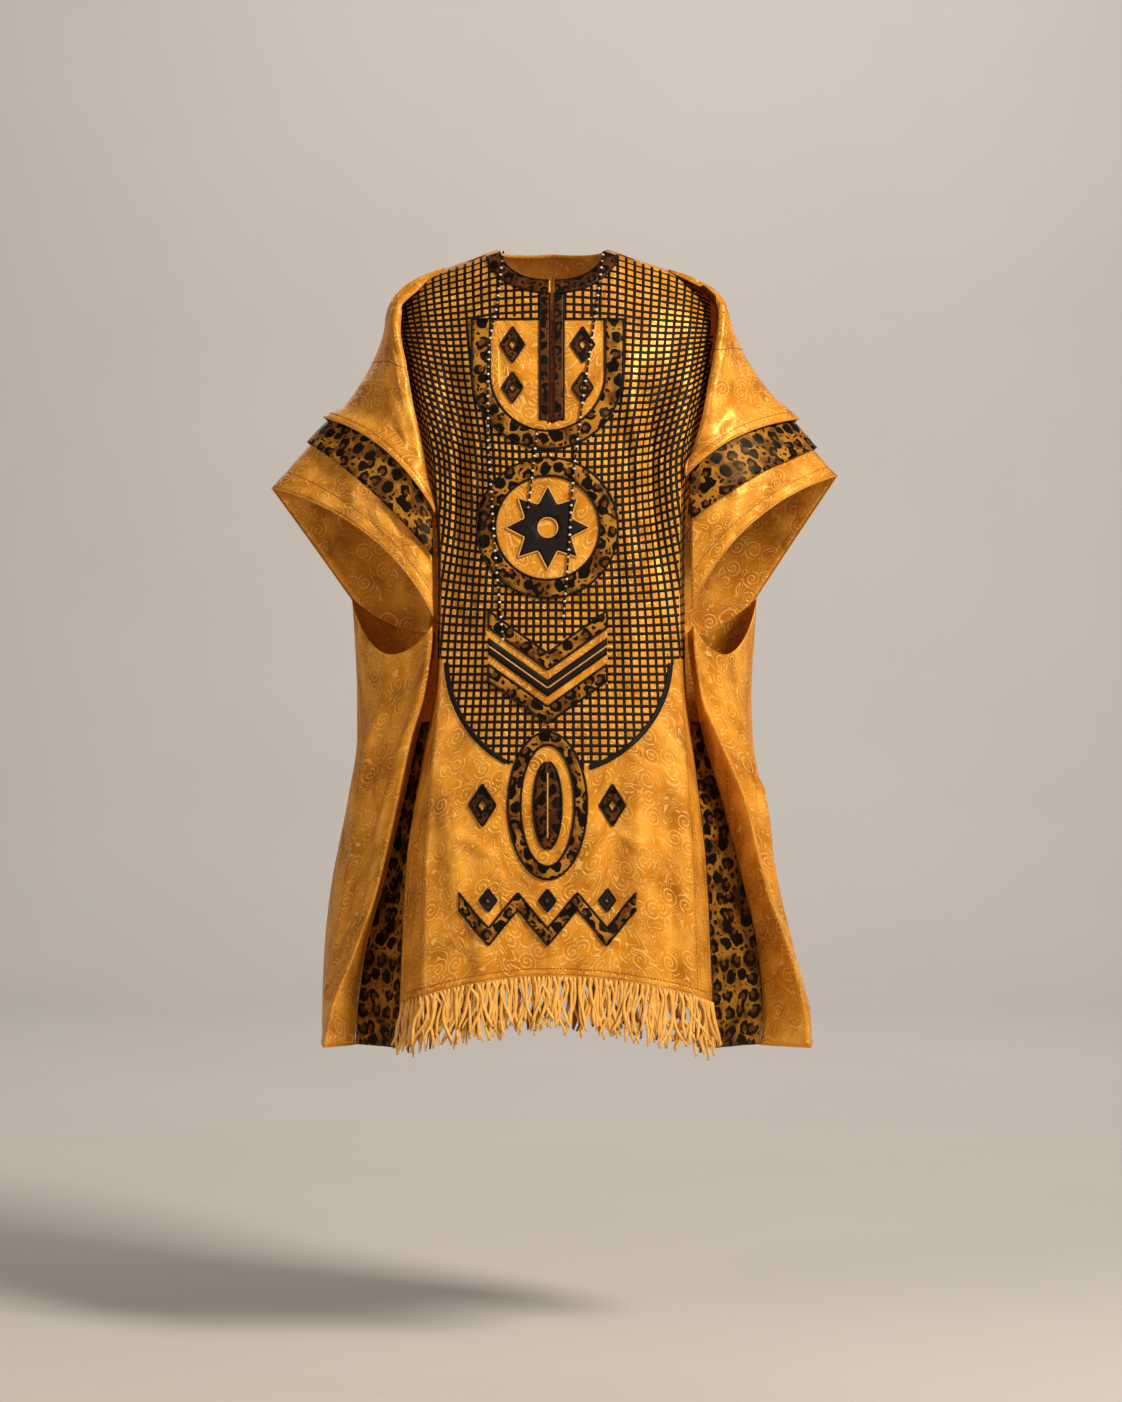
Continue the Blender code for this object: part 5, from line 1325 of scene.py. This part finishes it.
def make_column():
    """The applied column down the front, edged with cords; its motifs are plain and generic."""
    x = COLUMN_MIDDLE
    bib_in, bib_out = bib_path(BIB_HALF - BIB_WIDE, BIB_FOOT + BIB_WIDE), bib_path(BIB_HALF, BIB_FOOT)
    ring_in = ring_path(x, RING_Z, RING_INSIDE, RING_INSIDE)
    ring_out = ring_path(x, RING_Z, RING_OUTSIDE, RING_OUTSIDE)
    star_out = star_path(x, RING_Z, STAR_TIP, STAR_NOTCH)
    star_in = ring_path(x, RING_Z, STAR_HOLE, STAR_HOLE)
    oval_in = ring_path(x, OVAL_Z, OVAL_HALF - OVAL_WIDE, OVAL_TALL - OVAL_WIDE)
    oval_out = ring_path(x, OVAL_Z, OVAL_HALF, OVAL_TALL)
    dark = [(bib_in, False), (bib_out, False)]
    dark += [(path, True) for path in (ring_in, ring_out, oval_in, oval_out)]
    gold = [(star_out, True), (star_in, True)]
    strip("applied_bib", bib_in, bib_out, "leopard", node="column_bib")
    strip("applied_ring", ring_in, ring_out, "leopard", closed=True, node="column_ring")
    strip("applied_star", star_in, star_out, "satin", closed=True, node="column_star")
    for number, (top, finish) in enumerate(CHEVRONS, 1):
        upper, lower = chevron_path(top), chevron_path(top - CHEVRON_WIDE)
        strip("applied_chevron_%d" % number, upper, lower, finish, node="column_chevron_%d" % number)
        if finish == "leopard":
            dark += [(np.concatenate([upper, lower[::-1]]), True)]
        else:
            gold += [(chevron_path(top - CHEVRON_WIDE / 2), False)]
    strip("applied_oval", oval_in, oval_out, "leopard", closed=True, node="column_oval")
    turn = np.linspace(0.04, 0.96, 40) * math.pi
    seed_left = np.stack([x - SEED_HALF * np.sin(turn), OVAL_Z + SEED_TALL * np.cos(turn)], axis=1)
    seed_right = np.stack([x + SEED_HALF * np.sin(turn), OVAL_Z + SEED_TALL * np.cos(turn)], axis=1)
    strip("applied_seed", seed_left, seed_right, "leopard_dark", node="column_seed")
    dark += [(seed_left, False), (seed_right, False)]
    down_seed = np.linspace(OVAL_Z + SEED_CORD, OVAL_Z - SEED_CORD, 20)
    gold += [(np.stack([np.full(20, x), down_seed], axis=1), False)]
    top, foot = zigzag_path(ZIGZAG_WIDE / 2), zigzag_path(-ZIGZAG_WIDE / 2)
    strip("applied_zigzag", top, foot, "leopard", node="column_zigzag")
    dark += [(top, False), (foot, False)]
    for number, (off, z, wide, high) in enumerate(LOZENGES):
        for side, sign in (("left", -1), ("right", 1)):
            dark += small_lozenge("applied_lozenge_%d_%s" % (number, side), x + sign * off, z, wide, high,
                                  "leopard_dark")
    for start, stop in ((x - BIB_HALF, -PLACKET_WIDE - 0.002), (PLACKET_WIDE + 0.002, x + BIB_HALF)):
        dark += [(np.stack([np.linspace(start, stop, 20), np.full(20, BIB_TOP)], axis=1), False)]
    for number in range(ZIGZAG_TURNS // 2):
        middle = x + ZIGZAG_HALF * (2 * (2 * number + 1) / ZIGZAG_TURNS - 1)
        dark += small_lozenge("applied_notch_%d" % number, middle, ZIGZAG_Z + NOTCH_UP, NOTCH_HALF,
                              NOTCH_TALL, "satin")
    outline_cords("column_dark_cord", dark, "satin", 0.0016, 0.0012)
    outline_cords("column_gold_cord", gold, "gold_thread", 0.0011, 0.000825)


def make_border():
    """The dark band that edges the lattice below the waist, in two halves beside the column."""
    for side, sign, half in (("left", -1, BORDER_HALF_LEFT), ("right", 1, BORDER_HALF_RIGHT)):
        stop = math.acos((BORDER_CLEAR + sign * COLUMN_MIDDLE) / half)
        turn = np.linspace(0.03, 1, 60) * stop
        x, z = sign * half * np.cos(turn), BORDER_TOP - BORDER_DEEP * np.sin(turn)
        out = unit(np.stack([sign * np.cos(turn) * BORDER_DEEP, -np.sin(turn) * half], axis=1))
        outer = np.stack([x, z], axis=1)
        strip("lattice_band_" + side, outer - out * BORDER_WIDE, outer, "satin",
              node="lattice_border_" + side, cut=False)


def make_neck():
    """The leopard band round the neckline and the strips along the slit, edged with a dark cord."""
    turn = np.radians(np.linspace(-NECK_TURN, NECK_TURN, 121))
    near_x, far_x = (NECK_HALF - 0.001) * np.sin(turn), (NECK_HALF + FACING_WIDE) * np.sin(turn)
    inner = np.stack([near_x, ridge_z(near_x) - NECK_DROP_FRONT * np.cos(turn) - 0.002], axis=1)
    outer = np.stack([far_x, ridge_z(far_x) - (NECK_DROP_FRONT + FACING_WIDE) * np.cos(turn) - 0.002], axis=1)
    lines = []
    for side, sign in (("left", -1), ("right", 1)):
        kept = inner[:, 0] * sign > SLIT_HALF + 0.001
        strip("neck_band_" + side, inner[kept], outer[kept], "leopard_dark", node="neck_facing_" + side)
        lines += [(outer[kept], False), (inner[kept], False)]
        z = np.linspace(PLACKET_TOP, PLACKET_FOOT, 60)
        near = np.stack([np.full(60, sign * (SLIT_HALF + 0.001)), z], axis=1)
        far = near + np.array((sign * PLACKET_WIDE, 0.0))
        far[-1, 1] += 0.008
        strip("placket_band_" + side, near, far, "leopard_dark", node="placket_" + side)
        lines += [(near, False), (far, False)]
    outline_cords("neck_cord", lines, "satin", 0.0012, 0.0010)
    wide = np.linspace(0, 1, 5)[:, None]
    turn = np.radians(np.linspace(-NECK_TURN, NECK_TURN, 61))[None, :]
    x = (NECK_HALF + FACING_WIDE * wide) * np.sin(turn)
    z = ridge_z(x) - (NECK_DROP_BACK + FACING_WIDE * wide) * np.cos(turn) - 0.002
    near = 0.002
    along = (back_depth(x + near, z) - back_depth(x - near, z)) / (2 * near)
    down = (back_depth(x, z + near) - back_depth(x, z - near)) / (2 * near)
    grid = points(x, back_depth(x, z), z) + unit(points(-along, 1.0, -down)) * (TRIM_LIFT + 0.0002)
    trims("back_cloth", sheet_of("neck_band_back", grid, "leopard_dark", (0, 1, 0.5), TRIM,
                                 node="neck_facing_back", held="laid"))


# Hems, fringe and beads

def make_hems():
    """Rolled lower edges, the front's hem stitches and two rows of stitches down each of its sides."""
    across = np.linspace(-0.995, 0.995, 240)
    x, hem = front_place(across, 1.0)
    trims("front_cloth", cords("front_rolled_hem", [points(x, front_cloth(x, hem), hem)], "gold_edge", ROLL,
                               sides=7))
    seams = [on_front(x[6:-6], hem[6:-6] + HEM_FRONT_UP, np.full(228, WALL / 2))]
    down = np.linspace(0.50, 0.995, 150)
    for sign in (-1, 1):
        for share in (0.965, 0.83):
            edge_x, edge_z = front_place(np.full(150, sign * share), down)
            seams.append(on_front(edge_x, edge_z, np.full(150, WALL / 2)))
    stitches = [piece for seam in seams for piece in stitch_row(seam)]
    trims("front_cloth", cords("front_stitches", stitches, "seam_thread", 0.0007, sides=5,
                               taper=((0, 0.5, 1), (0.5, 1, 0.5))))
    hem_row = wing_point(np.linspace(-1, 1, 420), 1.0)
    trims("back_cloth", cords("back_rolled_hem", [hem_row], "gold_edge", ROLL, sides=7,
                              ups=[np.array((0.0, 0.0, 1.0))]))


def make_fringe():
    """Rayon cords under the front's hem in two rows, each cord with its own length, lean and wave; the back
    row's cords are coloured darker as painted shade.
    """
    # the cords of the back row take the darker copy of the fringe's colours: painted shade
    rows = {"fringe": [], "fringe_behind_painted_shade": []}
    for k in range(FRINGE_STRANDS):
        share = -0.982 + 1.964 * (k + 0.5) / FRINGE_STRANDS
        layer = k % 4 - 1.5
        x, z = front_place(share, 1.0)
        s_near = (max(share - 0.01, -1), min(share + 0.01, 1))
        ends = [np.array((front_place(v, 1.0)[0], front_cloth(*front_place(v, 1.0)))) for v in s_near]
        beside = unit(ends[1] - ends[0])
        outward = np.array((beside[1], -beside[0]))
        long = FRINGE_LONG * (0.74 + 0.30 * rolling.random()) * (0.9 if layer < -1 else 1.0)
        lean = FRINGE_LEAN * rolling.normal() + FRINGE_FLARE * math.copysign(abs(share) ** 6, share)
        curve, wobble = FRINGE_CURVE * rolling.normal(), rolling.random(2) * 2 * math.pi
        t = np.linspace(0, 1, 15)
        wave = FRINGE_WAVE * np.sin(5.2 * t + wobble[0]) + 0.0003 * np.sin(11 * t + wobble[1])
        along = lean * t ** 1.5 + curve * np.sin(math.pi * t * 1.3) + wave * ease(t * 4)
        off = 0.0019 * layer + (0.010 * rolling.random() + 0.001) * t ** 1.3
        off = off + 0.0012 * np.sin(6 * t + wobble[1]) * t
        px = x + beside[0] * along + outward[0] * off
        py = front_cloth(x, z) + beside[1] * along + outward[1] * off
        pz = z - 0.0005 - long * t * (1 - 0.02 * np.abs(along) / 0.01)
        rows["fringe" if layer > -1 else "fringe_behind_painted_shade"].append(points(px, py, pz))
    for finish, strands in rows.items():
        fringe = cords("hem_" + finish, strands, finish, FRINGE_THICK, FRINGE_THICK * 0.8, sides=7,
                       taper=((0, 0.06, 0.2, 0.8, 1), (0.7, 1.0, 0.92, 0.95, 0.55)))
        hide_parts("front_fringe")
        trims("front_cloth", fringe)


def bead_model():
    """One bead: a round sphere pressed flat at its two ends, where the thread goes through."""
    bpy.ops.object.select_all(action="DESELECT")
    bpy.ops.mesh.primitive_uv_sphere_add(segments=10, ring_count=6, radius=BEAD_SIZE, location=(0, 0, 0))
    bead = bpy.context.active_object
    bpy.ops.object.mode_set(mode="EDIT")
    bpy.ops.mesh.select_all(action="SELECT")
    bpy.ops.transform.resize(value=(1.0, 1.0, 0.82))
    bpy.ops.object.mode_set(mode="OBJECT")
    vertices = np.array([v.co[:] for v in bead.data.vertices])
    faces = [list(face.vertices) for face in bead.data.polygons]
    bpy.data.objects.remove(bead, do_unlink=True)
    return vertices, faces


def make_beads():
    """Beaded lines: a dark string with beads strung along it, one gold after each two pale ones."""
    shape, faces = bead_model()
    strings, ways, beads = [], [], {"bead_pale": [], "bead_gold": []}
    for line in BEADED_LINES:
        line = np.array(line)
        run = np.concatenate([[0.0], np.cumsum(np.linalg.norm(np.diff(line, axis=0), axis=1))])
        table = Table(("run", "x", "z"), [(r, a, b) for r, (a, b) in zip(run, line)])
        at = np.linspace(0, run[-1], int(run[-1] / 0.0035))
        x, z = table.read("x", at), table.read("z", at)
        height = np.full(len(at), TRIM_LIFT + TRIM / 2 + 0.0012)
        strings.append(on_front(x, z, height))
        ways.append(front_out(x, z))
        for k, place in enumerate(np.arange(0.006, run[-1], BEAD_PITCH)):
            bx, bz = table.read("x", place), table.read("z", place)
            spot = on_front(bx, bz, np.asarray(TRIM_LIFT + TRIM / 2 + 0.0016))
            beads["bead_gold" if k % 3 == 1 else "bead_pale"].append(spot)
    trims("front_cloth", cords("bead_strings", strings, "satin", 0.0014, ups=ways))
    for finish, spots in beads.items():
        spots = np.array(spots)
        vertices = (spots[:, None, :] + shape[None, :, :]).reshape(-1, 3)
        every = [[v + k * len(shape) for v in face] for k in range(len(spots)) for face in faces]
        trims("front_cloth", finish_piece(finish.replace("bead", "beads"), vertices, every, finish))


# The studio

def make_studio():
    """A floor that turns up into a backdrop in one round sweep."""
    far_edge = FLOOR_SIZE / 2 - 0.1
    bpy.ops.object.select_all(action="DESELECT")
    bpy.ops.mesh.primitive_plane_add(size=FLOOR_SIZE, location=(0, FLOOR_Y, FLOOR_Z))
    floor = bpy.context.active_object
    floor.name = "studio_floor"
    bpy.ops.object.mode_set(mode="EDIT")
    bpy.ops.mesh.select_all(action="DESELECT")
    bpy.ops.object.mode_set(mode="OBJECT")
    for edge in floor.data.edges:
        edge.select = all(floor.data.vertices[v].co.y > far_edge for v in edge.vertices)
    bpy.ops.object.mode_set(mode="EDIT")
    bpy.ops.mesh.select_mode(type="EDGE")
    bpy.ops.mesh.extrude_region_move(TRANSFORM_OT_translate={"value": (0, 0, BACKDROP_HIGH)})
    bpy.ops.object.mode_set(mode="OBJECT")
    for edge in floor.data.edges:
        ends = [floor.data.vertices[v].co for v in edge.vertices]
        edge.select = all(end.y > far_edge and abs(end.z) < 0.01 for end in ends)
    bpy.ops.object.mode_set(mode="EDIT")
    bpy.ops.mesh.bevel(offset=BACKDROP_ROUND, segments=16, affect="EDGES")
    bpy.ops.mesh.select_all(action="SELECT")
    bpy.ops.mesh.normals_make_consistent(inside=False)
    bpy.ops.object.mode_set(mode="OBJECT")
    bpy.ops.object.shade_smooth()
    floor.data.materials.append(painted("matt_studio_paint", "D4CDC6", "CDC6BF"))
    bpy.ops.object.transform_apply(location=True, rotation=True, scale=True)


def area_light(name, place, aim, size, power, colour):
    lamp = bpy.data.lights.new(name, "AREA")
    lamp.shape = "RECTANGLE"
    lamp.size, lamp.size_y = size
    lamp.energy = power
    lamp.color = linear(colour)[:3]
    made = bpy.data.objects.new(name, lamp)
    bpy.context.scene.collection.objects.link(made)
    made.location = place
    way = np.array(aim, dtype=float) - np.array(place, dtype=float)
    made.rotation_euler = (
        math.atan2(math.hypot(way[0], way[1]), -way[2]),
        0.0,
        math.atan2(-way[0], way[1]),
    )


def make_camera_and_light():
    camera = bpy.data.cameras.new("camera")
    camera.sensor_fit = "VERTICAL"
    camera.sensor_height = SENSOR_HIGH
    camera.lens = SENSOR_HIGH / 2 * CAMERA_OFF / (PHOTO_HALF_HIGH * PIXEL)
    made = bpy.data.objects.new("camera", camera)
    made.location = (CAMERA_X, -CAMERA_OFF, CAMERA_Z)
    made.rotation_euler = (math.pi / 2, 0.0, 0.0)
    bpy.context.scene.collection.objects.link(made)
    bpy.context.scene.camera = made
    for name, light in LIGHTS.items():
        area_light(name, *light)
    world = bpy.data.worlds.new("studio")
    world.use_nodes = True
    sky = world.node_tree.nodes["Background"]
    sky.inputs["Color"].default_value = linear("E4E2E2")
    sky.inputs["Strength"].default_value = 0.16
    bpy.context.scene.world = world
    bpy.context.scene.view_settings.view_transform = "Standard"


def declare_sheets():
    """Rounds each noted sheet's flat width and length; the rounded sizes are not passed on."""
    for piece, wide, long, area, held in DECLARED:
        wide, long = round(wide + 0.0005, 3), round(long + 0.0005, 3)


make_camera_and_light()
make_studio()
make_front()
make_back()
for side in ("left", "right"):
    make_gusset(side)
    make_sleeves(side)
make_lattice()
make_column()
make_border()
make_neck()
make_hems()
make_fringe()
make_beads()
declare_sheets()
